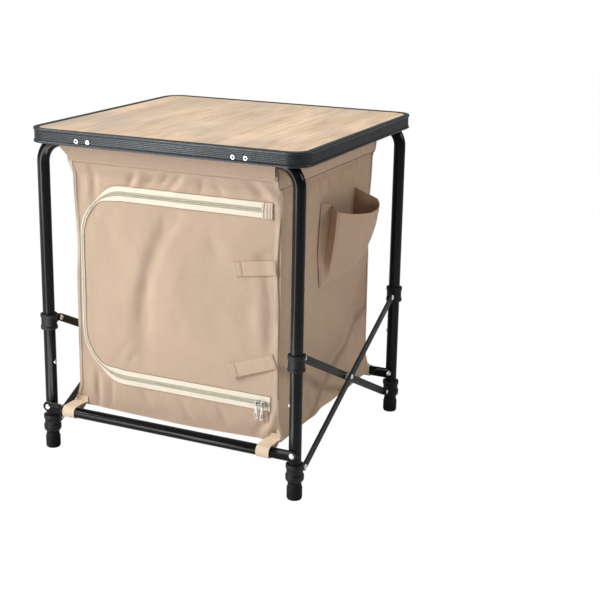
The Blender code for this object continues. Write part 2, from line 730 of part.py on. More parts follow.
def clip_outline(side):
    # Distance from the middle of the rail, outwards, and height. The rear clip has no inner arm.
    outer = TOP_DEPTH / 2 - SKIRT_RECESS - SKIRT_WALL - GAP - HALF_Y
    under_ledge = board_bottom() - GAP - LEDGE_THICKNESS - GAP
    beside_ledge = TOP_DEPTH / 2 - LEDGE_WIDTH - GAP - HALF_Y
    roof = RAIL_HEIGHT + SLEEVE_RADIUS + CLIP_SKIN
    crown = board_bottom() - GAP
    foot = RAIL_HEIGHT - CLIP_DEPTH_BELOW_RAIL
    bore = SLEEVE_RADIUS + CLIP_SKIN
    outline = [(outer, foot), (outer, under_ledge), (beside_ledge, under_ledge), (beside_ledge, crown)]
    if side < 0:
        outline += [(-bore - CLIP_ARM, crown), (-bore - CLIP_ARM, foot), (-bore, foot)]
        outline += arc((0, RAIL_HEIGHT), bore, math.pi, 0, 8)
    else:
        outline += [(-bore, crown), (-bore, roof)]
        outline += arc((0, RAIL_HEIGHT), bore, math.pi / 2, 0, 4)
    outline.append((bore, foot))
    return outline


def build_clip(name, x, side, body):
    def end(shift):
        return lambda u, v: (x + shift * CLIP_WIDTH / 2, side * (HALF_Y + u), v)

    clip = piece(name, prism([clip_outline(side)], end(-1), end(1)), body, BLACK_PLASTIC)
    skirt_face = TOP_DEPTH / 2 - SKIRT_RECESS
    root = SKIRT_WALL + CLIP_RIVET_ROOT
    rim = GAP + CLIP_RIVET_HEAD
    well = rim - CLIP_RIVET_WELL
    profile = [(0, -root), (PIN_RADIUS, -root), (PIN_RADIUS, GAP), (CLIP_RIVET_RADIUS, GAP)]
    profile += [(CLIP_RIVET_RADIUS * 0.8, rim), (CLIP_RIVET_BORE, rim), (CLIP_RIVET_BORE, well), (0, well)]
    rivets = []
    for shift in (-1, 1):
        place = (x + shift * CLIP_RIVET_SPACING / 2, side * skirt_face, CLIP_RIVET_HEIGHT)
        rivets.append(turned(profile, place, (0, side, 0), PIN_SIDES))
    combine(clip, helper(name + "_rivets", joined(rivets)), "UNION")


def ease(t):
    t = min(max(t, 0.0), 1.0)
    return t * t * (3 - 2 * t)


def wall_depth(z):
    # Distance of the front and rear walls from the middle: they slope out to the sleeve seam.
    rise = ease((z - SLOPE_BOTTOM) / (SEAM_HEIGHT - SLOPE_BOTTOM))
    return CABINET_HALF_DEPTH + (SEAM_HALF_DEPTH - CABINET_HALF_DEPTH) * rise


def draw_points():
    # Heights and how far the side walls are drawn in there: hem, flare, shelf, waist and header.
    waist = MIDDLE_SHELF_TOP + (SLOPE_BOTTOM - MIDDLE_SHELF_TOP) / 3
    points = [(CABINET_BOTTOM, 0.0), (CABINET_BOTTOM + HEM_FLARE, DRAW_LOWER)]
    points += [(MIDDLE_SHELF_TOP, DRAW_SHELF), (waist, DRAW_WAIST), (SLOPE_BOTTOM, DRAW_TOP)]
    return points


def draw_in(z):
    points = draw_points()
    if z <= points[0][0]:
        return points[0][1]
    for (low, start), (high, end) in zip(points, points[1:]):
        if z <= high:
            return start + (end - start) * ease((z - low) / (high - low))
    return points[-1][1]


def wall_heights():
    marks = [z for z, draw in draw_points()]
    heights = [marks[0]]
    for (low, high), steps in zip(zip(marks, marks[1:]), (2, 1, 1, 2)):
        heights += [low + (high - low) * k / steps for k in range(1, steps + 1)]
    slope = SEAM_HEIGHT - SLOPE_BOTTOM
    return heights + [SLOPE_BOTTOM + slope * 0.35, SLOPE_BOTTOM + slope * 0.65, SEAM_HEIGHT]


def side_x(y, z):
    # The side walls draw in between hem and header and hang in shallow upright folds.
    t = (z - CABINET_BOTTOM) / (SIDE_TOP - CABINET_BOTTOM)
    across = (y / CABINET_HALF_DEPTH + 1) / 2
    fold = 0.5 - 0.5 * math.cos(2 * math.pi * SIDE_RIPPLES * min(max(across, 0.0), 1.0))
    depth = SIDE_RIPPLE * fold * math.sin(math.pi * min(max(t, 0.0), 1.0))
    return CABINET_HALF_WIDTH - draw_in(z) - depth


def wall_outline():
    # Section of an end wall in distance from the middle and height: sleeve, seam and hanging wall.
    rail = (HALF_Y, RAIL_HEIGHT)
    apex = (SEAM_HALF_DEPTH, SEAM_HEIGHT)
    outer = teardrop(rail, SLEEVE_RADIUS, apex, 14)
    inner = teardrop(rail, TUBE_RADIUS + GAP, apex, 14)
    reach = math.dist(rail, apex)
    heading = ((apex[0] - rail[0]) / reach, (apex[1] - rail[1]) / reach)
    inner_reach = reach * (TUBE_RADIUS + GAP) / SLEEVE_RADIUS - SLEEVE_CLOTH
    inner.append((rail[0] + heading[0] * inner_reach, rail[1] + heading[1] * inner_reach))
    middle = [(wall_depth(z), z) for z in reversed(wall_heights())]
    far_side = [(d + CLOTH / 2, z) for d, z in middle]
    near_side = [(d - CLOTH / 2, z) for d, z in reversed(middle)]
    return [outer + near_side[::-1] + far_side[::-1], inner]


def wall_half_width(z):
    # The sleeve's ends are cut on a slant: they reach furthest out at the rail's own height.
    seam = SLEEVE_HALF_LENGTH - SLEEVE_END_SLANT
    if z > SEAM_HEIGHT:
        return seam + SLEEVE_END_SLANT * ease((z - SEAM_HEIGHT) / (RAIL_HEIGHT - SEAM_HEIGHT))
    edge = CABINET_HALF_WIDTH + CLOTH / 2 - draw_in(z)
    return seam + (edge - seam) * ease((SEAM_HEIGHT - z) / SLEEVE_END_EASE)


def build_end_wall(name, side, body):
    def end(hand):
        return lambda u, v: (hand * wall_half_width(v), side * u, v)

    return piece(name, prism(wall_outline(), end(-1), end(1)), body, BEIGE_CANVAS)


def zip_stations():
    # Points along the zip in X and Z with the outward direction and the tape's half width.
    # The tape folds away behind the teeth where the zip runs down the left side.
    radius = ZIP_CORNER_RADIUS
    middle_x = -ZIP_LEFT + radius
    stations = [((ZIP_END_X, ZIP_TOP), (0.0, 1.0), ZIP_HALF_TAPE)]
    corners = [((middle_x, ZIP_TOP - radius), 90), ((middle_x, ZIP_BOTTOM + radius), 180)]
    for centre, start in corners:
        for k in range(ZIP_CORNER_STEPS + 1):
            degrees = start + 90 * k / ZIP_CORNER_STEPS
            turn = math.radians(degrees)
            out = (math.cos(turn), math.sin(turn))
            spread = ease((abs(degrees - 180) - 50) / 30)
            reach = ZIP_HALF_TAPE_CURVE + (ZIP_HALF_TAPE - ZIP_HALF_TAPE_CURVE) * spread
            stations.append(((centre[0] + radius * out[0], centre[1] + radius * out[1]), out, reach))
    stations.append(((ZIP_END_X, ZIP_BOTTOM), (0.0, -1.0), ZIP_HALF_TAPE))
    return stations


def zip_line(distance):
    # The zip's path moved outwards by distance(reach), from the top right end to the bottom right.
    line = []
    for (x, z), out, reach in zip_stations():
        offset = distance(reach)
        line.append((x + out[0] * offset, z + out[1] * offset))
    return line


def zip_tape_shape(direction):
    # Tape with the row of teeth along its inner edge. direction is +1 on the wall, -1 on the door.
    far = -ZIP_FACE
    near_tape = far - ZIP_TAPE_THICKNESS
    near_teeth = far - ZIP_TEETH_THICKNESS
    section = [(lambda reach: ZIP_TEETH_GAP, far), (lambda reach: ZIP_TEETH_GAP, near_teeth)]
    section += [(lambda reach: ZIP_TEETH, near_teeth), (lambda reach: ZIP_TEETH, near_tape)]
    section += [(lambda reach: reach, near_tape), (lambda reach: reach, far)]
    count = len(zip_stations())
    points = []
    for distance, y in section:
        points += [(x, y, z) for x, z in zip_line(lambda reach: direction * distance(reach))]
    faces = []
    size = len(section)
    for k in range(size):
        following = (k + 1) % size
        for i in range(count - 1):
            faces.append([k * count + i, k * count + i + 1, following * count + i + 1, following * count + i])
    faces.append([k * count for k in range(size)])
    faces.append([k * count + count - 1 for k in range(size)])
    return points, faces


def door_edge():
    # The flap's left edge from bottom to top, behind the inner tape by the lap.
    return zip_line(lambda reach: -reach * ZIP_LAP_SHARE)[-2:0:-1]


def door_left(z):
    edge = door_edge()
    for (x_low, low), (x_high, high) in zip(edge, edge[1:]):
        if z <= high:
            return x_low + (x_high - x_low) * max(z - low, 0.0) / (high - low)
    return edge[-1][0]


def door_y(x, z):
    # The flap stands slightly proud in its middle and lies flat along the zip and the hinge.
    bottom = ZIP_BOTTOM + ZIP_LAP
    top = ZIP_TOP - ZIP_LAP
    left = door_left(z)
    across = (x - left) / (HINGE_X - left)
    up = (z - bottom) / (top - bottom)
    rim = ease(min(across, 1 - across) / 0.25) * ease(min(up, 1 - up) / 0.25)
    fold = 0.75 + 0.25 * math.sin(2 * math.pi * (1.6 * across + 0.9 * up))
    return -CABINET_HALF_DEPTH - DOOR_BULGE * rim * fold


def build_door(body):
    edge = door_edge()
    rows = len(edge) - 1

    def place(u, v):
        row = min(int(v * rows + 1e-9), rows - 1)
        z = edge[row][1] + (edge[row + 1][1] - edge[row][1]) * (v * rows - row)
        left = door_left(z)
        x = left + (HINGE_X - left) * u
        return (x, door_y(x, z), z)

    piece("door_flap", sheet(10, rows, place, CLOTH), body, BEIGE_CANVAS)
    piece("door_zip_inner", zip_tape_shape(-1), body, CREAM_TAPE)
    sewn_x = HINGE_X - STRAP_SEWN_INSET
    upper = Vector((sewn_x, ZIP_TOP - UPPER_STRAP_BELOW_ZIP))
    lower = Vector((sewn_x, ZIP_BOTTOM + LOWER_STRAP_ABOVE_ZIP))
    build_strap("door_strap_upper", upper, Vector((UPPER_STRAP_RUN, UPPER_STRAP_FALL)), body)
    build_strap("door_strap_lower", lower, Vector((LOWER_STRAP_RUN, LOWER_STRAP_FALL)), body)


def build_strap(name, sewn_end, run, body):
    # run goes from the strap's free end to the end that is sewn down beside the hinge.
    start = sewn_end - run
    across = Vector((0.0, STRAP_WIDTH / 2 * run.length / run.x))
    proud = CLOTH / 2 + GAP + STRAP_THICKNESS / 2

    def place(u, v):
        spot = start + run * u + across * (2 * v - 1)
        nearest = min(door_y(spot.x, spot.y + shift * STRAP_WIDTH / 4) for shift in (-1, 0, 1))
        return (spot.x, nearest - proud - STRAP_CLEARANCE, spot.y)

    piece(name, sheet(6, 2, place, STRAP_THICKNESS), body, CREAM_TAPE)


def build_slider(index, door):
    x = SLIDER_X + SLIDER_PITCH * index
    y = -SLIDER_FACE
    name = "zip_slider_" + ("left", "right")[index]
    rider = carrier(name + "_body", (x, y, ZIP_BOTTOM), door)
    half_length = SLIDER_LENGTH / 2
    half_width = SLIDER_WIDTH / 2
    waist = SLIDER_WIDTH * 0.36
    outline = [(-half_length, -waist), (-half_length * 0.2, -half_width), (half_length, -half_width)]
    outline += [(half_length, half_width), (-half_length * 0.2, half_width), (-half_length, waist)]

    def layer(depth):
        return lambda u, v: (x + u, y - depth, ZIP_BOTTOM + v)

    slider = piece(name, prism([outline], layer(0), layer(SLIDER_THICKNESS)), rider, NICKEL)
    crown_half = PULL_EYE_WIDTH / 2 + 4 * GAP
    post = 2.4 * CROWN_RADIUS
    root = SLIDER_THICKNESS / 2
    rise = SLIDER_THICKNESS + CROWN_STAND
    inner_rise = rise - CROWN_RADIUS
    outer_rise = rise + CROWN_RADIUS
    corner = (crown_half + post, outer_rise - CROWN_RADIUS / 2)
    arch = [(-crown_half - post, root), (-corner[0], corner[1]), (-crown_half, outer_rise)]
    arch += [(crown_half, outer_rise), corner, (crown_half + post, root), (crown_half, root)]
    arch += [(crown_half, inner_rise), (-crown_half, inner_rise), (-crown_half, root)]

    def cheek(height):
        return lambda u, v: (x + u, y - v, ZIP_BOTTOM + height)

    bridge = prism([arch], cheek(-CROWN_RADIUS * 0.7), cheek(CROWN_RADIUS * 0.7))
    combine(slider, helper(name + "_crown", bridge), "UNION")
    build_pull(name.replace("slider", "pull"), x, rider)


def build_pull(name, x, rider):
    swing = carrier(name + "_body", (x, -CROWN_Y, ZIP_BOTTOM), rider)
    eye = circle((0, 0), PULL_EYE_RADIUS, 10)
    bore = circle((0, 0), PULL_EYE_BORE, 10)

    def cheek(side):
        return lambda u, v: (x + side * PULL_EYE_WIDTH / 2, -CROWN_Y + u, ZIP_BOTTOM + v)

    pull = piece(name, prism([eye, bore], cheek(-1), cheek(1)), swing, NICKEL)
    start = -(PULL_EYE_RADIUS + PULL_EYE_BORE) / 2
    neck = start - PULL_NECK
    shoulder = neck - PULL_SHOULDER
    end = -PULL_LENGTH
    half = PULL_WIDTH / 2
    slim = half * 0.45
    outline = [(-slim, start), (-slim, neck), (-half, shoulder), (-half, end + half)]
    outline += arc((0, end + half), half, math.pi, 2 * math.pi, 6)[1:-1]
    outline += [(half, end + half), (half, shoulder), (slim, neck), (slim, start)]
    slot = rounded_rectangle(slim, PULL_SLOT_HALF_LENGTH, half * 0.4, 2)
    slot = [(u, v + end + PULL_SLOT_RISE) for u, v in slot]

    def face(side):
        return lambda u, v: (x + u, -CROWN_Y + side * PULL_THICKNESS / 2, ZIP_BOTTOM + v)

    tab = prism([outline, slot], face(-1), face(1))
    combine(pull, helper(name + "_tab", tab), "UNION")


def build_side_wall(name, side, body):
    heights = wall_heights() + [SIDE_TOP]
    rows = len(heights) - 1

    def place(u, v):
        row = min(int(v * rows + 1e-9), rows - 1)
        z = heights[row] + (heights[row + 1] - heights[row]) * (v * rows - row)
        edge = wall_depth(z) - CLOTH / 2 - GAP
        y = edge * (2 * u - 1)
        return (side * side_x(y, z), y, z)

    piece(name, sheet(12, rows, place, CLOTH), body, BEIGE_CANVAS)


def build_floor(name, top, half_width, half_depth, body):
    def place(u, v):
        return (half_width * (2 * u - 1), half_depth * (2 * v - 1), top - CLOTH / 2)

    piece(name, sheet(2, 2, place, CLOTH), body, BEIGE_CANVAS)


def build_bar_loop(name, x, bar, apex, body):
    # Webbing that leaves the cabinet's hem, runs round the crossbar and comes back.
    outer_radius = CROSSBAR_RADIUS + GAP + CLOTH
    outer = teardrop(bar, outer_radius, apex, 12) + [apex]
    scale = (CROSSBAR_RADIUS + GAP) / outer_radius
    inner = [(bar[0] + (u - bar[0]) * scale, bar[1] + (v - bar[1]) * scale) for u, v in outer]

    def end(side):
        return lambda u, v: (x + side * LOOP_WIDTH / 2, u, v)

    piece(name, prism([outer, inner], end(-1), end(1)), body, CREAM_TAPE)


def pocket_ring():
    # Plan of the pocket's rim: place along Y, stand-out from the wall, height, and pleat direction.
    front = POCKET_FRONT_Y
    rear = POCKET_REAR_Y
    low = POCKET_SEAM_TOP
    dip = POCKET_RIM_DIP
    return [
        (front, 0.0, low - 0.003),
        (front + 0.018, POCKET_STAND_FRONT / 3, low - 0.010),
        (front + 0.006, POCKET_STAND_FRONT, low - 0.017),
        (front + 0.056, POCKET_STAND_FRONT + 0.011, low - dip - 0.0035),
        (front + 0.115, POCKET_STAND_REAR - 0.002, low - dip - 0.0135),
        (rear + 0.003, POCKET_STAND_REAR, low - dip - 0.0105),
        (rear + 0.006, POCKET_STAND_REAR * 0.9, low - 0.022),
        (rear, 0.0, low - 0.002),
    ]


def build_pocket(body):
    ring = pocket_ring()
    sewn = CLOTH / 2 + GAP + POCKET_CLOTH / 2 + POCKET_CLEARANCE

    def place(u, v):
        spot = u * (len(ring) - 1)
        i = min(int(spot), len(ring) - 2)
        t = spot - i
        y_top, stand, top = (ring[i][k] + (ring[i + 1][k] - ring[i][k]) * t for k in range(3))
        seam = 1.0 - 2.0 * abs(u - 0.5)
        y_foot = POCKET_FRONT_Y + (POCKET_REAR_Y - POCKET_FRONT_Y) * u
        y = y_foot + (y_top - y_foot) * v ** 0.6
        z = POCKET_BOTTOM + (top - POCKET_BOTTOM) * v
        out = POCKET_STAND_FOOT * min(seam * 6, 1.0) * (1 - v) + stand * v ** 0.85
        return (side_x(y, z) + sewn + out, y, z)

    piece("side_pocket", sheet(14, 7, place, POCKET_CLOTH), body, BEIGE_CANVAS)


def build_utensil_band(body):
    sewn = CLOTH / 2 + GAP + BAND_CLOTH / 2 + BAND_CLEARANCE

    def place(u, v):
        y = BAND_HALF_LENGTH * (2 * u - 1)
        z = BAND_HEIGHT + BAND_WIDTH * (v - 0.5)
        out = BAND_STAND * abs(math.sin(math.pi * BAND_LOOPS * u)) ** 0.75
        return (-side_x(y, z) - sewn - out, y, z)

    piece("utensil_band", sheet(8 * BAND_LOOPS, 1, place, BAND_CLOTH), body, BEIGE_CANVAS)


def window_outline(grow):
    half_u = WINDOW_HALF_WIDTH + grow
    half_v = (WINDOW_TOP - WINDOW_BOTTOM) / 2 + grow
    middle = (WINDOW_TOP + WINDOW_BOTTOM) / 2
    outline = rounded_rectangle(half_u, half_v, WINDOW_CORNER_RADIUS + grow, 4)
    return [(u, v + middle) for u, v in outline]


def build_rear_wall(body):
    wall = build_end_wall("rear_panel", 1, body)

    def layer(y):
        return lambda u, v: (u, y, v)

    near = layer(CABINET_HALF_DEPTH - WINDOW_CUT_DEPTH)
    cut = prism([window_outline(0.0)], near, layer(CABINET_HALF_DEPTH + WINDOW_CUT_DEPTH))
    combine(wall, helper("window_cut", cut), "DIFFERENCE")
    back = CABINET_HALF_DEPTH + CLOTH / 2 + GAP
    loops = [window_outline(BINDING_WIDTH), window_outline(0.0)]
    binding = prism(loops, layer(back), layer(back + BINDING_THICKNESS))
    piece("window_binding", binding, body, BLACK_TAPE)


def build_front_wall(body):
    wall = build_end_wall("front_panel", -1, body)
    edge = HINGE_X + CLOTH / 2 + GAP
    low = ZIP_BOTTOM + ZIP_LAP - GAP
    high = ZIP_TOP - ZIP_LAP + GAP
    outline = zip_line(lambda reach: reach * ZIP_LAP_SHARE)
    outline += [(ZIP_END_X, low), (edge, low), (edge, high), (ZIP_END_X, high)]

    def layer(y):
        return lambda u, v: (u, y, v)

    near = layer(-CABINET_HALF_DEPTH - DOOR_CUT_DEPTH)
    cut = prism([outline], near, layer(-CABINET_HALF_DEPTH + DOOR_CUT_DEPTH))
    combine(wall, helper("door_cut", cut), "DIFFERENCE")
    piece("door_zip_outer", zip_tape_shape(1), body, CREAM_TAPE)


def build_shelf(name, top, front_y, body):
    middle = (front_y + SHELF_REAR_Y) / 2
    half_depth = (SHELF_REAR_Y - front_y) / 2
    outline = rounded_rectangle(SHELF_HALF_WIDTH, half_depth, SHELF_CORNER_RADIUS, 3)

    def layer(z):
        return lambda u, v: (u, v + middle, z)

    shape = prism([outline], layer(top - SHELF_THICKNESS), layer(top))
    piece(name, shape, body, GREY_BOARD)


def build_front_assembly(root):
    build_frame_tube("front_frame_tube", -HALF_Y, root)
    build_crossbar("front_crossbar", -HALF_Y, root)
    bar = (-HALF_Y - CROSSBAR_AXIS_OFFSET, CROSSBAR_HEIGHT)
    apex = (-CABINET_HALF_DEPTH - CLOTH / 2 - GAP, CABINET_BOTTOM + LOOP_HEM)
    for side, hand in ((-1, "left"), (1, "right")):
        x = side * HALF_X
        build_foot("front_foot_" + hand, x, -HALF_Y, root)
        build_leg_fitting("front_lower_bracket_" + hand, x, -HALF_Y, LOWER_PIVOT_HEIGHT, BRACKET_RADIUS,
                          BRACKET_HEIGHT, TUBE_RADIUS + GAP, root)
        build_end_pin("front_lower_pin_" + hand, side, True, -LUG_Y, LOWER_PIVOT_HEIGHT, root)
        build_bar_loop("front_bar_loop_" + hand, side * LOOP_OFFSET_X, bar, apex, root)
    build_front_wall(root)
    build_side_wall("left_panel", -1, root)
    build_side_wall("right_panel", 1, root)
    inner_depth = CABINET_HALF_DEPTH - CLOTH / 2 - GAP
    floor_edge = CABINET_HALF_WIDTH - draw_in(FLOOR_TOP) - SIDE_RIPPLE - CLOTH / 2 - GAP
    build_floor("floor_panel", FLOOR_TOP, floor_edge, inner_depth, root)
    build_pocket(root)
    build_utensil_band(root)


def build_rear_assembly(rear):
    build_frame_tube("rear_frame_tube", HALF_Y, rear)
    build_crossbar("rear_crossbar", HALF_Y, rear)
    bar = (HALF_Y - CROSSBAR_AXIS_OFFSET, CROSSBAR_HEIGHT)
    apex = (CABINET_HALF_DEPTH + CLOTH / 2 + GAP, CABINET_BOTTOM + LOOP_HEM)
    for side, hand in ((-1, "left"), (1, "right")):
        x = side * HALF_X
        build_foot("rear_foot_" + hand, x, HALF_Y, rear)
        build_leg_fitting("rear_lower_bracket_" + hand, x, HALF_Y, LOWER_PIVOT_HEIGHT, BRACKET_RADIUS,
                          BRACKET_HEIGHT, TUBE_RADIUS + GAP, rear)
        build_end_pin("rear_lower_pin_" + hand, side, False, LUG_Y, LOWER_PIVOT_HEIGHT, rear)
        build_bar_loop("rear_bar_loop_" + hand, side * LOOP_OFFSET_X, bar, apex, rear)
    build_rear_wall(rear)


def build_collar(place, hand, side, y, outer, parent):
    pivot_y = -LUG_Y if y < 0 else LUG_Y
    name = place + "_collar_" + hand
    body = carrier(name + "_body", (side * HALF_X, pivot_y, UPPER_PIVOT_HEIGHT), parent)
    bore = TUBE_RADIUS + COLLAR_CLEARANCE
    build_leg_fitting(name, side * HALF_X, y, UPPER_PIVOT_HEIGHT, COLLAR_RADIUS, COLLAR_HEIGHT, bore, body)
    build_end_pin(place + "_collar_pin_" + hand, side, outer, pivot_y, UPPER_PIVOT_HEIGHT, body)


def build_scissors(side, hand, root):
    # Returns the empty at the inner brace's lower end, which carries the rear frame.
    x = side * HALF_X
    middle = (LOWER_PIVOT_HEIGHT + UPPER_PIVOT_HEIGHT) / 2
    outer = carrier("outer_brace_" + hand + "_body", (x, -LUG_Y, LOWER_PIVOT_HEIGHT), root)
    build_brace("outer_brace_" + hand, side, True, outer)
    build_centre_pin("centre_pin_" + hand, side, outer)
    inner = carrier("inner_brace_" + hand + "_body", (x, 0, middle), outer)
    build_brace("inner_brace_" + hand, side, False, inner)
    build_collar("front", hand, side, -HALF_Y, False, inner)
    build_collar("rear", hand, side, HALF_Y, True, outer)
    return carrier("rear_lower_pivot_" + hand, (x, LUG_Y, LOWER_PIVOT_HEIGHT), inner)


def main():
    clear_scene()
    root = carrier("root_body", (0, 0, 0))
    build_front_assembly(root)
    build_scissors(-1, "left", root)
    rear = build_scissors(1, "right", root)
    build_rear_assembly(rear)
    tabletop = carrier("tabletop_body", (0, 0, RAIL_HEIGHT), root)
    build_tabletop(tabletop)
    door = carrier("door_body", (HINGE_X, -CABINET_HALF_DEPTH, (ZIP_TOP + ZIP_BOTTOM) / 2), root)
    build_door(door)
    for index in (0, 1):
        build_slider(index, door)
    sling = carrier("shelf_sling_body", (0, 0, SLING_TOP), root)
    sling_half_depth = CABINET_HALF_DEPTH - CLOTH / 2 - GAP
    build_floor("shelf_sling", SLING_TOP, SHELF_HALF_WIDTH, sling_half_depth, sling)
    middle = carrier("middle_shelf_body", (0, MIDDLE_SHELF_FRONT_Y, MIDDLE_SHELF_TOP), sling)
    build_shelf("middle_shelf_board", MIDDLE_SHELF_TOP, MIDDLE_SHELF_FRONT_Y, middle)
    bottom = carrier("bottom_shelf_body", (0, BOTTOM_SHELF_FRONT_Y, BOTTOM_SHELF_TOP), root)
    build_shelf("bottom_shelf_board", BOTTOM_SHELF_TOP, BOTTOM_SHELF_FRONT_Y, bottom)
    bpy.context.view_layer.update()


main()
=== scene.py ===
import math

import bmesh
import bpy
from mathutils import Matrix, Vector, noise


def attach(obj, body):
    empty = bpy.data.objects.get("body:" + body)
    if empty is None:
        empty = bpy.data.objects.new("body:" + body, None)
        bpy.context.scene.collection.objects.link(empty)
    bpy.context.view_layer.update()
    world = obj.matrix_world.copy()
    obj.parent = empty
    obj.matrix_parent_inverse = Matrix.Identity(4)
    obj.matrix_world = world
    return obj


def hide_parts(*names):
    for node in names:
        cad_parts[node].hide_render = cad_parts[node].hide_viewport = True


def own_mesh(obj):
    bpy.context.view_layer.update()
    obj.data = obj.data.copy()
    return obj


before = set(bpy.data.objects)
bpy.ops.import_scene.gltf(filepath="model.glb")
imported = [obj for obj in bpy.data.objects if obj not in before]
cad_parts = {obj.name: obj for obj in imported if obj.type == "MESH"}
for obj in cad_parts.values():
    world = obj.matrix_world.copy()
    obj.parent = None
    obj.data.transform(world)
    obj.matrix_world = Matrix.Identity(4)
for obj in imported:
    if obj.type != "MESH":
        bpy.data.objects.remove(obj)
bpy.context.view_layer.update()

bpy.ops.object.select_all(action="DESELECT")

# Small helpers


def clamp(t, low=0.0, high=1.0):
    return min(max(t, low), high)


def easeStep(t):
    t = clamp(t)
    return t * t * (3 - 2 * t)


def shares(count):
    # Even steps from 0 to 1.
    return [k / count for k in range(count + 1)]


def addObject(name, content):
    holder = bpy.data.objects.new(name, content)
    bpy.context.scene.collection.objects.link(holder)
    return holder


# Camera, at the photograph's angle
cameraSetup = {
    "yaw": 0.4465,          # turned to the left of straight ahead, radians
    "pitch": 0.2671,        # looking down
    "roll": 0.0117,
    "aim": (0, 0, 0.3),
    "distance": 2.398,
    "sideStep": 0.0778,     # the view isn't aimed at the middle of the cupboard
    "lift": 0.0159,
    "lens": 76.53,
    "shift": (0.05, -0.05),
}


def placeCamera():
    yaw, pitch, roll = cameraSetup["yaw"], cameraSetup["pitch"], cameraSetup["roll"]
    ahead = Vector((-math.sin(yaw) * math.cos(pitch), math.cos(yaw) * math.cos(pitch), -math.sin(pitch)))
    right = ahead.cross(Vector((0, 0, 1))).normalized()
    up = right.cross(ahead)
    turn = Matrix.Rotation(-roll, 3, ahead)
    right, up = turn @ right, turn @ up
    place = Vector(cameraSetup["aim"]) - ahead * cameraSetup["distance"]
    place += right * cameraSetup["sideStep"] + up * cameraSetup["lift"]
    view = bpy.data.cameras.new("photoCamera")
    view.lens = cameraSetup["lens"]
    view.sensor_width = 36
    view.shift_x, view.shift_y = cameraSetup["shift"]
    holder = addObject("photoCamera", view)
    spin = Matrix((right, up, -ahead)).transposed()
    holder.matrix_world = Matrix.Translation(place) @ spin.to_4x4()
    bpy.context.scene.camera = holder


placeCamera()
print("camera placed")

# Shader nodes, each made and joined in one call


def feed(tree, value, socket):
    # A socket takes a plain number, a colour or what another node gives out.
    if isinstance(value, (int, float)):
        socket.default_value = value
    elif isinstance(value, tuple):
        socket.default_value = (*value, 1.0)
    else:
        tree.links.new(value, socket)


def mathNode(tree, operation, *values):
    node = tree.nodes.new("ShaderNodeMath")
    node.operation = operation
    for socket, value in zip(node.inputs, values):
        feed(tree, value, socket)
    return node.outputs[0]


def mixColour(tree, share, first, second, way="MIX"):
    node = tree.nodes.new("ShaderNodeMix")
    node.data_type = "RGBA"
    node.blend_type = way
    for index, value in ((0, share), (6, first), (7, second)):
        feed(tree, value, node.inputs[index])
    return node.outputs[2]


def noiseNode(tree, vector, scale, detail=3.0, roughness=0.5):
    node = tree.nodes.new("ShaderNodeTexNoise")
    for label, value in (("Vector", vector), ("Scale", scale), ("Detail", detail), ("Roughness", roughness)):
        feed(tree, value, node.inputs[label])
    return node.outputs["Fac"]


def spreadNode(tree, value, low, high, lowOut=0.0, highOut=1.0):
    # Values from low to high become values from lowOut to highOut.
    node = tree.nodes.new("ShaderNodeMapRange")
    for label, number in (("Value", value), ("From Min", low), ("From Max", high), ("To Min", lowOut),
                          ("To Max", highOut)):
        feed(tree, number, node.inputs[label])
    return node.outputs["Result"]


def stretchNode(tree, vector, x, y):
    # A pattern that is longer along an axis, by a factor below 1 on it.
    node = tree.nodes.new("ShaderNodeVectorMath")
    node.operation = "MULTIPLY"
    node.inputs[1].default_value = (x, y, 1.0)
    tree.links.new(vector, node.inputs[0])
    return node.outputs[0]


def mixShader(tree, share, first, second, out):
    node = tree.nodes.new("ShaderNodeMixShader")
    for socket, value in zip(node.inputs, (share, first, second)):
        tree.links.new(value, socket)
    tree.links.new(node.outputs[0], out.inputs["Surface"])


# Plain studio: soft lamps, a pale floor and a white surround
studio = {
    "surround": 0.15,                         # light from all round
    "mirrored": 0.10,                         # how much of the white surround glossy surfaces show
    "lampAim": (0, 0, 0.28),
    "lamps": (("keyLamp", (-3.4, -2.7, 2.5), (1.0, 1.5), 250), ("fillLamp", (3.4, 0.9, 1.9), (0.7, 0.9), 30),
              ("topLamp", (0.2, 0.3, 3.4), (2.6, 2.2), 58)),
    "skirtGlint": ("skirtGlint", (-0.98, -1.95, 0.27), (0.75, 0.5), 14),
    "legGlints": (("leftGlint", -0.247, (-0.14, -0.99)), ("rightGlint", 0.247, (-0.57, -0.82))),
    "glintY": -0.230, "glintZ": 0.003, "glintReach": 1.25, "glintSize": (2.0, 0.26), "glintPower": 12,
    "floorTone": 0.86, "floorGlow": 0.97, "floorLight": 1.02, "floorSize": 14, "floorZ": -0.0002,
}


def addLamp(name, size, power):
    lamp = bpy.data.lights.new(name, "AREA")
    lamp.shape = "RECTANGLE"
    lamp.size, lamp.size_y = size
    lamp.energy = power
    return addObject(name, lamp)


def addAimedLamp(name, place, size, power):
    holder = addLamp(name, size, power)
    holder.location = place
    aim = Vector(studio["lampAim"]) - Vector(place)
    holder.rotation_mode = "QUATERNION"
    holder.rotation_quaternion = aim.to_track_quat("-Z", "Y")
    return holder


def hideLamp(holder):
    # The lamp then shows only as a reflection.
    holder.visible_camera = False
    holder.visible_diffuse = False


def addLegGlint(name, legX, toward):
    # A strip of light on the floor, out of sight, that draws the bright line down a glossy leg.
    holder = addLamp(name, studio["glintSize"], studio["glintPower"])
    hideLamp(holder)
    aim = Vector((*toward, 0)).normalized()
    place = Vector((legX, studio["glintY"], studio["glintZ"])) + aim * studio["glintReach"]
    turn = Matrix((aim, Vector((aim.y, -aim.x, 0)), Vector((0, 0, -1)))).transposed()
    holder.matrix_world = Matrix.Translation(place) @ turn.to_4x4()


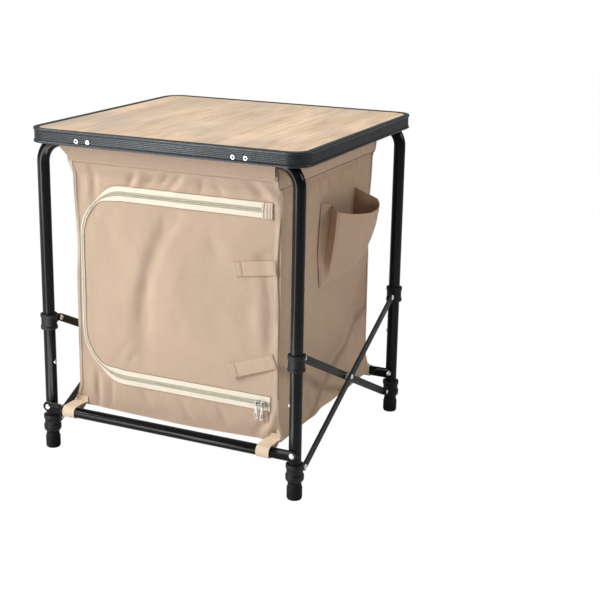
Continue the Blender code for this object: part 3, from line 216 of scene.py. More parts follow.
def paintSurround():
    # White to the camera, dimmer where it is mirrored, and dimmer still as light.
    world = bpy.data.worlds.new("paleSurround")
    bpy.context.scene.world = world
    world.use_nodes = True
    tree = world.node_tree
    tree.nodes.clear()
    rays = tree.nodes.new("ShaderNodeLightPath").outputs
    mirrored = mathNode(tree, "MAXIMUM", rays["Is Transmission Ray"], rays["Is Glossy Ray"])
    dimmed = mathNode(tree, "MULTIPLY", mirrored, studio["mirrored"])
    seen = mathNode(tree, "MAXIMUM", rays["Is Camera Ray"], dimmed)
    glows = []
    for strength in (studio["surround"], 1.0):
        glow = tree.nodes.new("ShaderNodeBackground")
        feed(tree, (1, 1, 1), glow.inputs["Color"])
        feed(tree, strength, glow.inputs["Strength"])
        glows.append(glow.outputs[0])
    mixShader(tree, seen, *glows, tree.nodes.new("ShaderNodeOutputWorld"))


def layStudioFloor():
    bpy.ops.mesh.primitive_plane_add(size=studio["floorSize"], location=(0, 0, studio["floorZ"]))
    floor = bpy.context.object
    floor.name = "studioFloor"
    paint = bpy.data.materials.new("paleFloor")
    paint.use_nodes = True
    tree = paint.node_tree
    shader = tree.nodes["Principled BSDF"]
    tone = studio["floorTone"]
    for label, value in (("Base Color", (tone, tone, tone)), ("Roughness", 0.9), ("Specular IOR Level", 0.0)):
        feed(tree, value, shader.inputs[label])
    glow = tree.nodes.new("ShaderNodeEmission")
    feed(tree, studio["floorLight"], glow.inputs["Strength"])
    rays = tree.nodes.new("ShaderNodeLightPath").outputs
    share = mathNode(tree, "MULTIPLY", rays["Is Camera Ray"], studio["floorGlow"])
    mixShader(tree, share, shader.outputs[0], glow.outputs[0], tree.nodes["Material Output"])
    floor.data.materials.append(paint)


paintSurround()
for lampSetup in studio["lamps"]:
    addAimedLamp(*lampSetup)
for glintSetup in studio["legGlints"]:
    addLegGlint(*glintSetup)
hideLamp(addAimedLamp(*studio["skirtGlint"]))
layStudioFloor()
bpy.context.scene.view_settings.view_transform = "Standard"
print("studio lit")

# Shader effects shared by several finishes


def newGroup(name, takes, gives):
    group = bpy.data.node_groups.new(name, "ShaderNodeTree")
    kinds = {"value": "NodeSocketFloat", "colour": "NodeSocketColor", "vector": "NodeSocketVector"}
    for label, kind, start in takes:
        socket = group.interface.new_socket(label, in_out="INPUT", socket_type=kinds[kind])
        socket.default_value = start
    for label, kind in gives:
        group.interface.new_socket(label, in_out="OUTPUT", socket_type=kinds[kind])
    return group, group.nodes.new("NodeGroupInput").outputs, group.nodes.new("NodeGroupOutput").inputs


def makeWeaveGroup():
    # Plain weave: one thread over, one under, with slubs and a little unevenness.
    group, start, end = newGroup(
        "plainWeave",
        [("Place", "vector", (0, 0, 0)), ("Threads per metre", "value", 1100.0),
         ("Cloth", "colour", (0.6, 0.45, 0.33, 1)), ("Valley", "colour", (0.4, 0.3, 0.2, 1)),
         ("Slubs", "value", 0.3)],
        [("Colour", "colour"), ("Height", "value"), ("Roughness", "value")])
    place = start["Place"]
    split = group.nodes.new("ShaderNodeSeparateXYZ")
    group.links.new(place, split.inputs[0])
    turn = mathNode(group, "MULTIPLY", start["Threads per metre"], math.pi)
    across = mathNode(group, "SINE", mathNode(group, "MULTIPLY", split.outputs["X"], turn))
    along = mathNode(group, "SINE", mathNode(group, "MULTIPLY", split.outputs["Y"], turn))
    threads = mathNode(group, "MULTIPLY_ADD", mathNode(group, "MULTIPLY", across, along), 0.5, 0.5)
    warp = noiseNode(group, stretchNode(group, place, 1.0, 0.05), 900.0, 2.0)
    weft = noiseNode(group, stretchNode(group, place, 0.05, 1.0), 900.0, 2.0)
    slub = mathNode(group, "MULTIPLY", mathNode(group, "ADD", warp, weft), 0.5)
    slub = spreadNode(group, slub, 0.35, 0.65)
    blotch = noiseNode(group, place, 14.0, 4.0, 0.6)
    lift = mathNode(group, "MULTIPLY", start["Slubs"], mathNode(group, "SUBTRACT", slub, 0.5))
    share = mathNode(group, "SUBTRACT", 1.0, mathNode(group, "POWER", threads, 0.6))
    colour = mixColour(group, mathNode(group, "MULTIPLY", share, 0.55), start["Cloth"], start["Valley"])
    shade = mathNode(group, "MULTIPLY_ADD", blotch, 0.6, mathNode(group, "MULTIPLY", slub, 0.4))
    shade = spreadNode(group, shade, 0.2, 0.8, 0.93, 1.06)
    tint = group.nodes.new("ShaderNodeCombineColor")
    for channel in range(3):
        group.links.new(shade, tint.inputs[channel])
    feed(group, mixColour(group, 1.0, colour, tint.outputs[0], "MULTIPLY"), end["Colour"])
    feed(group, mathNode(group, "ADD", threads, lift), end["Height"])
    feed(group, spreadNode(group, blotch, 0.3, 0.7, 0.80, 0.92), end["Roughness"])
    return group


def makeWearGroup():
    # Rubbed edges and faint scuffs on coated metal and moulded plastic.
    group, start, end = newGroup(
        "edgeWear",
        [("Place", "vector", (0, 0, 0)), ("Base", "colour", (0.02, 0.02, 0.02, 1)),
         ("Rubbed", "colour", (0.12, 0.12, 0.12, 1)), ("Amount", "value", 0.5),
         ("Low roughness", "value", 0.3), ("High roughness", "value", 0.5)],
        [("Colour", "colour"), ("Roughness", "value")])
    shape = group.nodes.new("ShaderNodeNewGeometry")
    edge = spreadNode(group, shape.outputs["Pointiness"], 0.515, 0.60)
    patch = spreadNode(group, noiseNode(group, start["Place"], 130.0, 4.0, 0.65), 0.42, 0.68)
    mask = mathNode(group, "MULTIPLY", mathNode(group, "MULTIPLY", edge, patch), start["Amount"])
    smudge = noiseNode(group, start["Place"], 26.0, 4.0, 0.6)
    colour = mixColour(group, mask, start["Base"], start["Rubbed"])
    dust = spreadNode(group, smudge, 0.45, 0.8, 0.0, 0.035)
    span = mathNode(group, "SUBTRACT", start["High roughness"], start["Low roughness"])
    rough = mathNode(group, "MULTIPLY_ADD", spreadNode(group, smudge, 0.3, 0.7), span, start["Low roughness"])
    feed(group, mixColour(group, dust, colour, (0.10, 0.095, 0.085)), end["Colour"])
    feed(group, rough, end["Roughness"])
    return group


def makeGrainGroup():
    # Printed oak laminate: long soft figure, darker pores and patches that differ from board to board.
    group, start, end = newGroup(
        "oakGrain",
        [("Place", "vector", (0, 0, 0)), ("Light", "colour", (0.7, 0.5, 0.35, 1)),
         ("Middle", "colour", (0.6, 0.45, 0.3, 1)), ("Dark", "colour", (0.45, 0.35, 0.25, 1)),
         ("Grey", "colour", (0.5, 0.45, 0.38, 1))],
        [("Colour", "colour"), ("Height", "value"), ("Roughness", "value")])

    def figure(length, scale, detail, roughness):
        return noiseNode(group, stretchNode(group, start["Place"], 1.0, length), scale, detail, roughness)

    broad = figure(0.16, 26.0, 4.0, 0.55)
    rings = figure(0.09, 85.0, 5.0, 0.6)
    fine = figure(0.03, 420.0, 3.0, 0.6)
    pores = figure(0.02, 900.0, 1.0, 0.4)
    patch = figure(0.55, 5.5, 3.0, 0.5)
    colour = mixColour(group, spreadNode(group, broad, 0.36, 0.64), start["Middle"], start["Light"])
    for pattern, low, high, amount, tone in (
            (rings, 0.50, 0.72, 0.75, "Dark"), (patch, 0.50, 0.70, 0.80, "Grey"),
            (fine, 0.52, 0.74, 0.35, "Dark"), (pores, 0.60, 0.72, 0.35, "Dark")):
        colour = mixColour(group, spreadNode(group, pattern, low, high, 0.0, amount), colour, start[tone])
    feed(group, colour, end["Colour"])
    height = mathNode(group, "MULTIPLY_ADD", pores, -0.5, mathNode(group, "MULTIPLY", fine, 0.4))
    feed(group, height, end["Height"])
    feed(group, spreadNode(group, rings, 0.3, 0.7, 0.36, 0.50), end["Roughness"])
    return group


weave = makeWeaveGroup()
wear = makeWearGroup()
grain = makeGrainGroup()

# Finishes


def startFinish(name, **plain):
    # A material and its shader's sockets; plain names those that are the same all over.
    paint = bpy.data.materials.new(name)
    paint.use_nodes = True
    shader = paint.node_tree.nodes["Principled BSDF"].inputs
    for label, value in plain.items():
        shader[label.replace("_", " ")].default_value = value
    return paint, paint.node_tree, shader


def placeSocket(tree, kind):
    return tree.nodes.new("ShaderNodeTexCoord").outputs[kind]


def useGroup(tree, group, **values):
    node = tree.nodes.new("ShaderNodeGroup")
    node.node_tree = group
    for label, value in values.items():
        feed(tree, value, node.inputs[label.replace("_", " ")])
    return node.outputs


def addBump(tree, shader, height, strength, distance, before=None):
    node = tree.nodes.new("ShaderNodeBump")
    for label, value in (("Height", height), ("Strength", strength), ("Distance", distance)):
        feed(tree, value, node.inputs[label])
    if before is not None:
        tree.links.new(before, node.inputs["Normal"])
    tree.links.new(node.outputs["Normal"], shader["Normal"])
    return node.outputs["Normal"]


def clothFinish(name, cloth, valley, threads, strength, slubs=0.3, crumple=0.45, linesAndShadowLines=()):
    paint, tree, shader = startFinish(name, Sheen_Weight=0.12, Sheen_Roughness=0.5, Specular_IOR_Level=0.25)
    place = placeSocket(tree, "UV")
    cover = useGroup(tree, weave, Place=place, Threads_per_metre=threads, Cloth=cloth, Valley=valley,
                     Slubs=slubs)
    colour = cover["Colour"]
    for low, high, tint in linesAndShadowLines:
        # a line of another colour between two distances from the cloth's lower edge: some are the cloth's own
        # lines, some are painted shadow lines along raised edges
        split = tree.nodes.new("ShaderNodeSeparateXYZ")
        tree.links.new(place, split.inputs[0])
        rise = spreadNode(tree, split.outputs["Y"], low, low + 0.0003)
        fall = spreadNode(tree, split.outputs["Y"], high, high + 0.0003, 1.0, 0.0)
        colour = mixColour(tree, mathNode(tree, "MULTIPLY", rise, fall), colour, tint)
    feed(tree, colour, shader["Base Color"])
    feed(tree, cover["Roughness"], shader["Roughness"])
    normal = addBump(tree, shader, noiseNode(tree, place, 38.0, 5.0, 0.60), crumple, 0.0022)
    addBump(tree, shader, cover["Height"], strength, 0.00025, normal)
    return paint


def coatedFinish(name, base, rubbed, amount, low, high, texture=0.0, textureScale=900.0, **plain):
    paint, tree, shader = startFinish(name, **plain)
    place = placeSocket(tree, "Object")
    cover = useGroup(tree, wear, Place=place, Base=base, Rubbed=rubbed, Amount=amount,
                     Low_roughness=low, High_roughness=high)
    feed(tree, cover["Colour"], shader["Base Color"])
    feed(tree, cover["Roughness"], shader["Roughness"])
    if texture:
        addBump(tree, shader, noiseNode(tree, place, textureScale, 2.0, 0.5), texture, 0.0002)
    return paint


def oakFinish(name):
    paint, tree, shader = startFinish(name, Coat_Weight=0.15, Coat_Roughness=0.25)
    cover = useGroup(tree, grain, Place=placeSocket(tree, "Object"), Light=(0.90, 0.665, 0.460),
                     Middle=(0.700, 0.505, 0.336), Dark=(0.43, 0.300, 0.192), Grey=(0.47, 0.395, 0.325))
    feed(tree, cover["Colour"], shader["Base Color"])
    feed(tree, cover["Roughness"], shader["Roughness"])
    addBump(tree, shader, cover["Height"], 0.18, 0.0002)
    return paint


def brushedFinish(name, colour, roughness):
    paint, tree, shader = startFinish(name, Metallic=0.70)
    place = placeSocket(tree, "Object")
    scratch = noiseNode(tree, place, 700.0, 3.0, 0.6)
    dull = spreadNode(tree, noiseNode(tree, place, 60.0, 3.0, 0.6), 0.45, 0.75, 0.0, 0.4)
    feed(tree, mixColour(tree, dull, colour, tuple(c * 0.6 for c in colour)), shader["Base Color"])
    feed(tree, spreadNode(tree, scratch, 0.3, 0.7, roughness * 0.8, roughness * 1.35), shader["Roughness"])
    addBump(tree, shader, scratch, 0.12, 0.0001)
    return paint


finishes = {
    "canvas": clothFinish("beigeCanvas", (0.605, 0.447, 0.329), (0.42, 0.295, 0.21), 1150.0, 0.35),
    "creamCanvas": clothFinish("creamBinding", (0.80, 0.63, 0.48), (0.60, 0.45, 0.33), 1150.0, 0.4, 0.2),
    # painted shade: a darker, redder copy of the beige canvas, used for both side walls and the pocket,
    # standing in for the shade on the sides
    "sideCanvasPaintedShade": clothFinish("paintedShadeCanvas", (0.570, 0.399, 0.274), (0.37, 0.245, 0.162), 1150.0, 0.35, 0.3,
                              0.60),
    # painted shade: a darker copy of the canvas for the shaded side, with a dark stripe along the band's
    # lower edge painted as the shadow line under the band
    "headerCanvasPaintedShade": clothFinish("headerCanvasPaintedShade", (0.58, 0.415, 0.295), (0.42, 0.285, 0.195), 1150.0, 0.35, 0.3,
                                0.35, ((-0.0010, 0.0016, (0.19, 0.115, 0.072)),)),
    "lining": clothFinish("canvasInside", (0.50, 0.36, 0.25), (0.36, 0.25, 0.17), 1150.0, 0.35),
    "webbing": clothFinish("creamWebbing", (0.83, 0.66, 0.48), (0.60, 0.46, 0.33), 620.0, 0.7, 0.15),
    "strapCloth": clothFinish("strapWebbing", (0.64, 0.478, 0.345), (0.46, 0.335, 0.235), 700.0, 0.6, 0.15),
    # the zip tape's first stripe is a woven line beside the coil, darkened further as painted shade of the
    # gap between coil and tape; the second, at the tape's outer edge, is a painted shadow line
    "tape": clothFinish("zipTape", (0.94, 0.86, 0.71), (0.74, 0.66, 0.52), 1500.0, 0.5, 0.1, 0.15,
                        ((0.0016, 0.0050, (0.44, 0.43, 0.33)), (0.0123, 0.0150, (0.25, 0.17, 0.11)))),
    "tapeEnd": clothFinish("zipTapeEnd", (0.76, 0.65, 0.52), (0.58, 0.47, 0.36), 1500.0, 0.5, 0.1, 0.3,
                           ((0.0035, 0.0052, (0.30, 0.22, 0.15)), (0.0095, 0.0108, (0.30, 0.22, 0.15)),
                            (0.0150, 0.0163, (0.34, 0.25, 0.18)))),
    "darkTape": clothFinish("windowBinding", (0.030, 0.030, 0.031), (0.012, 0.012, 0.012), 800.0, 0.7, 0.15),
    "thread": coatedFinish("sewingThread", (0.70, 0.53, 0.39), (0.8, 0.65, 0.5), 0.4, 0.55, 0.75),
    "creamThread": coatedFinish("creamThread", (0.78, 0.66, 0.50), (0.9, 0.8, 0.65), 0.4, 0.5, 0.7),
    "coil": coatedFinish("zipCoil", (0.86, 0.79, 0.64), (0.95, 0.90, 0.78), 0.5, 0.28, 0.42),
    "steel": coatedFinish("blackSteel", (0.0050, 0.0056, 0.0060), (0.03, 0.03, 0.032), 0.25, 0.12, 0.17,
                          Specular_IOR_Level=0.15),
    "satin": coatedFinish("satinSteel", (0.0130, 0.0165, 0.0165), (0.05, 0.05, 0.05), 0.3, 0.42, 0.55,
                          texture=0.10, textureScale=1200.0, Specular_IOR_Level=0.25),
    "plastic": coatedFinish("blackPlastic", (0.0060, 0.0062, 0.0065), (0.045, 0.045, 0.047), 0.5, 0.42, 0.60,
                            texture=0.22, textureScale=1800.0, Specular_IOR_Level=0.24),
    "rubber": coatedFinish("blackRubber", (0.0060, 0.0060, 0.0060), (0.045, 0.043, 0.041), 0.6, 0.60, 0.85,
                           texture=0.35, textureScale=1500.0, Specular_IOR_Level=0.20),
    "aluminium": coatedFinish("blackAluminium", (0.036, 0.039, 0.042), (0.15, 0.16, 0.175), 0.25, 0.30, 0.40,
                              Metallic=0.55, Specular_IOR_Level=0.35),
    "board": coatedFinish("greyShelf", (0.040, 0.042, 0.041), (0.13, 0.12, 0.11), 0.5, 0.34, 0.50,
                          texture=0.12, textureScale=600.0),
    "silver": brushedFinish("nickelPlate", (0.86, 0.85, 0.83), 0.28),
    "zipMetal": brushedFinish("zipNickel", (0.30, 0.295, 0.28), 0.42),
    "oak": oakFinish("lightOak"),
}
print("finishes mixed")

# Modelling steps used again and again


def addPrimitive(operator, **settings):
    bpy.ops.object.select_all(action="DESELECT")
    operator(**settings)
    return bpy.context.object


def pick(piece):
    bpy.ops.object.select_all(action="DESELECT")
    bpy.context.view_layer.objects.active = piece
    piece.select_set(True)


def startEdit(piece):
    pick(piece)
    bpy.ops.object.mode_set(mode="EDIT")
    bpy.ops.mesh.select_all(action="SELECT")


def endEdit():
    # Faces are turned outwards before the piece leaves edit mode.
    bpy.ops.mesh.select_all(action="SELECT")
    bpy.ops.mesh.normals_make_consistent(inside=False)
    bpy.ops.object.mode_set(mode="OBJECT")


def closeShell(merge=0.000002, fill=True):
    # Ends the modelling: doubles merged, holes filled, faces turned outwards.
    bpy.ops.mesh.select_all(action="SELECT")
    bpy.ops.mesh.remove_doubles(threshold=merge)
    if fill:
        bpy.ops.mesh.select_all(action="SELECT")
        bpy.ops.mesh.fill_holes(sides=0)
    endEdit()


def addCircle(radius, centre, axis="Z", points=32):
    # Left in edit mode with the whole circle selected, ready to extrude.
    turns = {"X": (0, math.pi / 2, 0), "Y": (-math.pi / 2, 0, 0), "Z": (0, 0, 0)}
    piece = addPrimitive(bpy.ops.mesh.primitive_circle_add, vertices=points, radius=radius, location=centre,
                         rotation=turns[axis])
    bpy.ops.object.transform_apply(location=True, rotation=True, scale=True)
    startEdit(piece)
    return piece


def addOutline(spots):
    # A closed outline: a circle whose points are moved to the given places.
    piece = addPrimitive(bpy.ops.mesh.primitive_circle_add, vertices=len(spots), radius=0.01)
    for vertex, spot in zip(piece.data.vertices, spots):
        vertex.co = spot
    startEdit(piece)
    return piece


def extrudeBy(step):
    bpy.ops.mesh.extrude_region_move(TRANSFORM_OT_translate={"value": step})


def scaleAbout(factors, centre):
    bpy.ops.transform.resize(value=factors, center_override=centre)


def spinAbout(centre, axis, steps):
    # A quarter turn.
    bpy.ops.mesh.spin(steps=steps, angle=-math.pi / 2, center=centre, axis=axis)


def lathe(profile, centre, axis="Z", points=32, hollow=False):
    # Rings of (radius, distance along the axis), each extruded from the one before and scaled.
    index = "XYZ".index(axis)

    def spot(height):
        place = list(centre)
        place[index] += height
        return place

    rings = list(profile) + ([profile[0]] if hollow else [])
    piece = addCircle(rings[0][0], spot(rings[0][1]), axis, points)
    for (before, low), (radius, high) in zip(rings, rings[1:]):
        step = [0.0, 0.0, 0.0]
        step[index] = high - low
        extrudeBy(step)
        factors = [radius / before] * 3
        factors[index] = 1.0
        scaleAbout(factors, spot(high))
    closeShell(fill=not hollow)
    return piece


def domeProfile(radius, base, rise, angles):
    # Rings of a dome, at angles in degrees above its rim.
    turns = [math.radians(angle) for angle in angles]
    return [(radius * math.cos(turn), base + rise * math.sin(turn)) for turn in turns]


def applyModifiers(piece):
    pick(piece)
    for step in list(piece.modifiers):
        bpy.ops.object.modifier_apply(modifier=step.name)


def bevelEdges(piece, width, segments=2, angle=35):
    step = piece.modifiers.new("roundedEdges", "BEVEL")
    step.width = width
    step.segments = segments
    step.limit_method = "ANGLE"
    step.angle_limit = math.radians(angle)
    step.harden_normals = False
    applyModifiers(piece)


def finishPiece(piece, name, finish, body, replaced=(), angle=35):
    piece.name = name
    piece.data.name = name
    piece.data.materials.clear()
    piece.data.materials.append(finishes[finish])
    pick(piece)
    bpy.ops.object.shade_smooth_by_angle(angle=math.radians(angle))
    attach(piece, body)
    if replaced:
        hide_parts(*replaced)
    return piece


def placeAt(spot, turned=False):
    # A move to a spot, after half a turn about Z where the piece faces the other way.
    return Matrix.Translation(spot) @ Matrix.Rotation(math.pi if turned else 0, 4, "Z")


def copyPiece(source, place):
    # A copy with its own mesh, moved or turned in the mesh itself.
    piece = addObject(source.name + "Copy", source.data.copy())
    piece.data.transform(place)
    return piece


def discard(*models):
    for model in models:
        bpy.data.objects.remove(model, do_unlink=True)


def joinPieces(parts):
    pick(parts[0])
    for part in parts:
        part.select_set(True)
    bpy.ops.object.join()
    return bpy.context.view_layer.objects.active


def copyNode(node, width, angle):
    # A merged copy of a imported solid, with its sharp edges eased.
    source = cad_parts[node]
    piece = addObject(node + "Copy", source.data.copy())
    piece.data.transform(source.matrix_world)
    startEdit(piece)
    bpy.ops.mesh.remove_doubles(threshold=0.000005)
    bpy.ops.mesh.dissolve_limited(angle_limit=math.radians(1.0))
    bpy.ops.object.mode_set(mode="OBJECT")
    bevelEdges(piece, width, 2, angle)
    return piece


# Folding frame
hands = ((-1, "left"), (1, "right"))
ends = ((-1, "front", "root"), (1, "rear", "rear_frame"))
frameShape = {
    "legX": 0.247, "legY": 0.230, "radius": 0.011, "bend": 0.041,
    "foot": 0.0063, "rail": 0.5785, "points": 40, "bendSteps": 14,
}


def buildFrameTube(way, end, body):
    shape = frameShape
    y, corner, height = way * shape["legY"], shape["legX"] - shape["bend"], shape["rail"] - shape["bend"]
    tube = addCircle(shape["radius"], (-shape["legX"], y, shape["foot"]), "Z", shape["points"])
    extrudeBy((0, 0, height - shape["foot"]))
    spinAbout((-corner, y, height), (0, 1, 0), shape["bendSteps"])
    extrudeBy((2 * corner, 0, 0))
    spinAbout((corner, y, height), (0, 1, 0), shape["bendSteps"])
    extrudeBy((0, 0, shape["foot"] - height))
    closeShell()
    finishPiece(tube, end + "Tube", "steel", body, [end + "_frame_tube"])


def buildDome(centre, axis, way, radius, height):
    # A closed rivet head with a small dimple in its middle.
    profile = [(radius * 0.98, -0.0006 * way), (radius, 0.0002 * way)]
    profile += domeProfile(radius, 0.0, height * way, (12, 28, 44, 60, 74))
    rim = profile[-1][0] * 0.63
    profile += [(rim, height * way), (rim * 0.5, height * way * 0.86)]
    return lathe(profile, centre, axis, 20)


crossbarShape = {
    "height": 0.0825, "radius": 0.0095, "offset": 0.0128, "tallFlat": 0.0102, "thinFlat": 0.0015,
    "flatLength": 0.034, "taper": 0.028, "points": 32, "rivetRadius": 0.0050, "rivetHeight": 0.0021,
}


def crossbarStations():
    # (place along the bar, half height, half thickness) from a flattened, rounded end to the other.
    shape = crossbarShape
    radius, tall, thin = shape["radius"], shape["tallFlat"], shape["thinFlat"]
    tip = frameShape["legX"] + tall
    half = []
    for degrees in (84, 72, 58, 44, 28, 14, 0):
        turn = math.radians(degrees)
        half.append((tip - tall * (1 - math.sin(turn)), tall * math.cos(turn), thin))
    for t in shares(10):
        ease = 1 - easeStep(t)
        half.append((tip - shape["flatLength"] - shape["taper"] * t, radius + (tall - radius) * ease,
                     radius + (thin - radius) * ease))
    return [(-x, tall, thin) for x, tall, thin in half] + half[::-1]


def buildCrossbar(way, end, body):
    shape = crossbarShape
    y, z = way * frameShape["legY"] - shape["offset"], shape["height"]
    stations = [(0, shape["radius"], shape["radius"])] + crossbarStations()
    bar = addCircle(shape["radius"], (stations[1][0], y, z), "X", shape["points"])
    for (x0, tall0, thin0), (x1, tall1, thin1) in zip(stations, stations[1:]):
        if x0:
            extrudeBy((x1 - x0, 0, 0))
        scaleAbout((1, thin1 / thin0, tall1 / tall0), (x1, y, z))
    closeShell()
    finishPiece(bar, end + "Crossbar", "steel", body, [end + "_crossbar"])
    heads = [buildDome((side * frameShape["legX"], y - shape["thinFlat"], z), "Y", -1, shape["rivetRadius"],
                       shape["rivetHeight"]) for side, hand in hands]
    finishPiece(joinPieces(heads), end + "CrossbarRivets", "silver", body)


footShape = {
    "radius": 0.0135, "height": 0.0295, "ribs": 6, "ribsFrom": 0.0040, "pitch": 0.0032, "bore": 0.01125,
    "points": 36, "socket": 0.0062,
    # (radius, height) of the sole, (inset, rise) of a rib, and (radius, height) of the collar
    "sole": ((0.0070, 0.0), (0.0102, 0.0002), (0.0120, 0.0010), (0.0130, 0.0026)),
    "rib": ((0.0009, 0.0), (0.0001, 0.0005), (0.0, 0.0010), (0.0, 0.0020), (0.0002, 0.0026)),
    "collar": ((0.0126, 0.0234), (0.0123, 0.0246), (0.0120, 0.0256), (0.0120, 0.0291), (0.0117, 0.0295)),
}


def buildFeet():
    # A ribbed rubber foot with a rounded sole and a plain collar round the tube.
    radius, height, bore = footShape["radius"], footShape["height"], footShape["bore"]
    profile = list(footShape["sole"])
    for k in range(footShape["ribs"]):
        low = footShape["ribsFrom"] + footShape["pitch"] * k
        profile += [(radius - inset, low + rise) for inset, rise in footShape["rib"]]
    profile += list(footShape["collar"]) + [(bore, height), (bore, footShape["socket"])]
    model = lathe(profile, (0, 0, 0), "Z", footShape["points"])
    for way, end, body in ends:
        for side, hand in hands:
            foot = copyPiece(model, placeAt((side * frameShape["legX"], way * frameShape["legY"], 0)))
            finishPiece(foot, end + "Foot" + hand.capitalize(), "rubber", body,
                        [end + "_foot_" + hand], 40)
    discard(model)


fittingShape = {"reach": 0.028, "lug": 0.006, "endRadius": 0.007, "root": 0.0135, "rootHalf": 0.011,
                "panelRim": 0.0016, "panelDepth": 0.0007, "bracketHeight": 0.049, "collarHeight": 0.245}


def buildFitting(profile):
    # A sleeve round the leg and a lug that reaches along +Y, with a sunk panel in each cheek.
    sleeve = lathe(profile, (0, 0, 0), "Z", 40, hollow=True)
    shape = fittingShape
    root, half, end = shape["root"], shape["rootHalf"], shape["endRadius"]
    cheek = [(root, -half), (root + 0.004, -half * 0.97)]
    for t in shares(12):
        turn = math.pi * (t - 0.5)
        cheek.append((shape["reach"] + end * math.cos(turn), end * math.sin(turn)))
    cheek += [(root + 0.004, half * 0.97), (root, half)]
    lug = addOutline([Vector((-shape["lug"] / 2, y, z)) for y, z in cheek])
    bpy.ops.mesh.edge_face_add()
    extrudeBy((shape["lug"], 0, 0))
    bpy.ops.mesh.select_all(action="SELECT")
    bpy.ops.mesh.normals_make_consistent(inside=False)
    bpy.ops.mesh.select_all(action="DESELECT")
    bpy.ops.object.mode_set(mode="OBJECT")
    for face in lug.data.polygons:
        face.select = abs(face.normal.x) > 0.9
    bpy.ops.object.mode_set(mode="EDIT")
    bpy.ops.mesh.inset(thickness=shape["panelRim"], depth=0.0)
    bpy.ops.mesh.inset(thickness=0.0004, depth=-shape["panelDepth"])
    bpy.ops.object.mode_set(mode="OBJECT")
    bevelEdges(lug, 0.0005, 2, 50)
    return joinPieces([sleeve, lug])


bracketProfile = [
    (0.0113, -0.0160), (0.0128, -0.0160), (0.0136, -0.0154), (0.0158, -0.0118), (0.0160, -0.0108),
    (0.0160, -0.0040), (0.0157, -0.0032), (0.0146, -0.0026), (0.0144, -0.0020), (0.0144, 0.0070),
    (0.0147, 0.0078), (0.0156, 0.0084), (0.0158, 0.0092), (0.0158, 0.0148), (0.0154, 0.0157),
    (0.0146, 0.0160), (0.0113, 0.0160),
]
collarProfile = [
    (0.0116, -0.0145), (0.0144, -0.0145), (0.0152, -0.0140), (0.0155, -0.0130), (0.0155, -0.0092),
    (0.0151, -0.0084), (0.0143, -0.0078), (0.0143, 0.0070), (0.0151, 0.0076), (0.0155, 0.0084),
    (0.0155, 0.0130), (0.0152, 0.0140), (0.0144, 0.0145), (0.0116, 0.0145),
]


def buildFittings():
    bracket, collar = buildFitting(bracketProfile), buildFitting(collarProfile)
    for way, end, frameBody in ends:
        for side, hand in hands:
            for model, label, node, height, body in (
                    (bracket, "Bracket", "_lower_bracket_", fittingShape["bracketHeight"], frameBody),
                    (collar, "Collar", "_collar_", fittingShape["collarHeight"], end + "_collar_" + hand)):
                spot = placeAt((side * frameShape["legX"], way * frameShape["legY"], height), way > 0)
                finishPiece(copyPiece(model, spot), end + label + hand.capitalize(), "plastic", body,
                            [end + node + hand], 30)
    discard(bracket, collar)


pinShape = {"radius": 0.0025, "head": 0.0050, "rise": 0.0020, "headFace": 0.0076, "tailFace": -0.0033,
            "centreFace": 0.0030, "reachY": 0.202, "low": 0.049, "high": 0.245, "middle": 0.147,
            "tip": 0.0006, "points": 22, "angles": (14, 32, 50, 66, 80),
            # (radius, place from the tail's face) of the rolled tail
            "roll": ((0.0014, -0.0002), (0.0016, -0.0013), (0.0022, -0.0016), (0.0034, -0.0014),
                     (0.0041, -0.0006), (0.0040, 0.0))}


def buildPins():
    # Steel rivets: a domed head outside the bar, a rolled tail behind the lug.
    shape, legX = pinShape, frameShape["legX"]
    shank, head, rise, face, tail = (shape[k] for k in ("radius", "head", "rise", "headFace", "tailFace"))
    angles, points = shape["angles"], shape["points"]
    profile = [(radius, tail + place) for radius, place in shape["roll"]]
    profile += [(shank, tail), (shank, face), (head, face)]
    model = lathe(profile + domeProfile(head, face, rise, angles), (0, 0, 0), "X", points)
    half = [(shape["tip"], -face - rise)] + domeProfile(head, -face, -rise, angles[::-1])
    half += [(head, -face), (shank, -face), (shank, -shape["centreFace"]), (head, -shape["centreFace"])]
    centre = lathe(half + [(radius, -place) for radius, place in reversed(half)], (0, 0, 0), "X", points)
    for side, hand in hands:
        for level, label in (("low", "lower"), ("high", "collar")):
            for way, end, body in ends:
                outer = way if level == "high" else -way
                place = placeAt((side * legX, way * shape["reachY"], shape[level]), side * outer < 0)
                holder = end + "_collar_" + hand if level == "high" else body
                finishPiece(copyPiece(model, place), end + label.capitalize() + "Pin" + hand.capitalize(),
                            "silver", holder, [end + "_" + label + "_pin_" + hand])
    for side, hand in hands:
        pin = copyPiece(centre, placeAt((side * legX, 0, shape["middle"])))
        finishPiece(pin, "centrePin" + hand.capitalize(), "silver", "outer_brace_" + hand,
                    ["centre_pin_" + hand])
    discard(model, centre)


def buildBraces():
    for layer in ("inner", "outer"):
        for side, hand in hands:
            node = layer + "_brace_" + hand
            finishPiece(copyNode(node, 0.0006, 50), layer + "Brace" + hand.capitalize(), "satin", node,
                        [node], 40)


stopShape = {"height": 0.168, "radius": 0.0042, "rise": 0.0022, "sunk": 0.0002}


def buildStops(way, end, body):
    # The rivets inside the legs that the collars come down on.
    x = frameShape["legX"] - frameShape["radius"] + stopShape["sunk"]
    y, radius, rise = way * frameShape["legY"], stopShape["radius"], stopShape["rise"]
    heads = [buildDome((side * x, y, stopShape["height"]), "X", -side, radius, rise) for side, hand in hands]
    finishPiece(joinPieces(heads), end + "StopRivets", "silver", body)


for way, end, body in ends:
    buildFrameTube(way, end, body)
for way, end, body in ends:
    buildCrossbar(way, end, body)
buildFeet()
buildFittings()
buildBraces()
buildPins()
for way, end, body in ends:
    buildStops(way, end, body)
print("frame modelled")

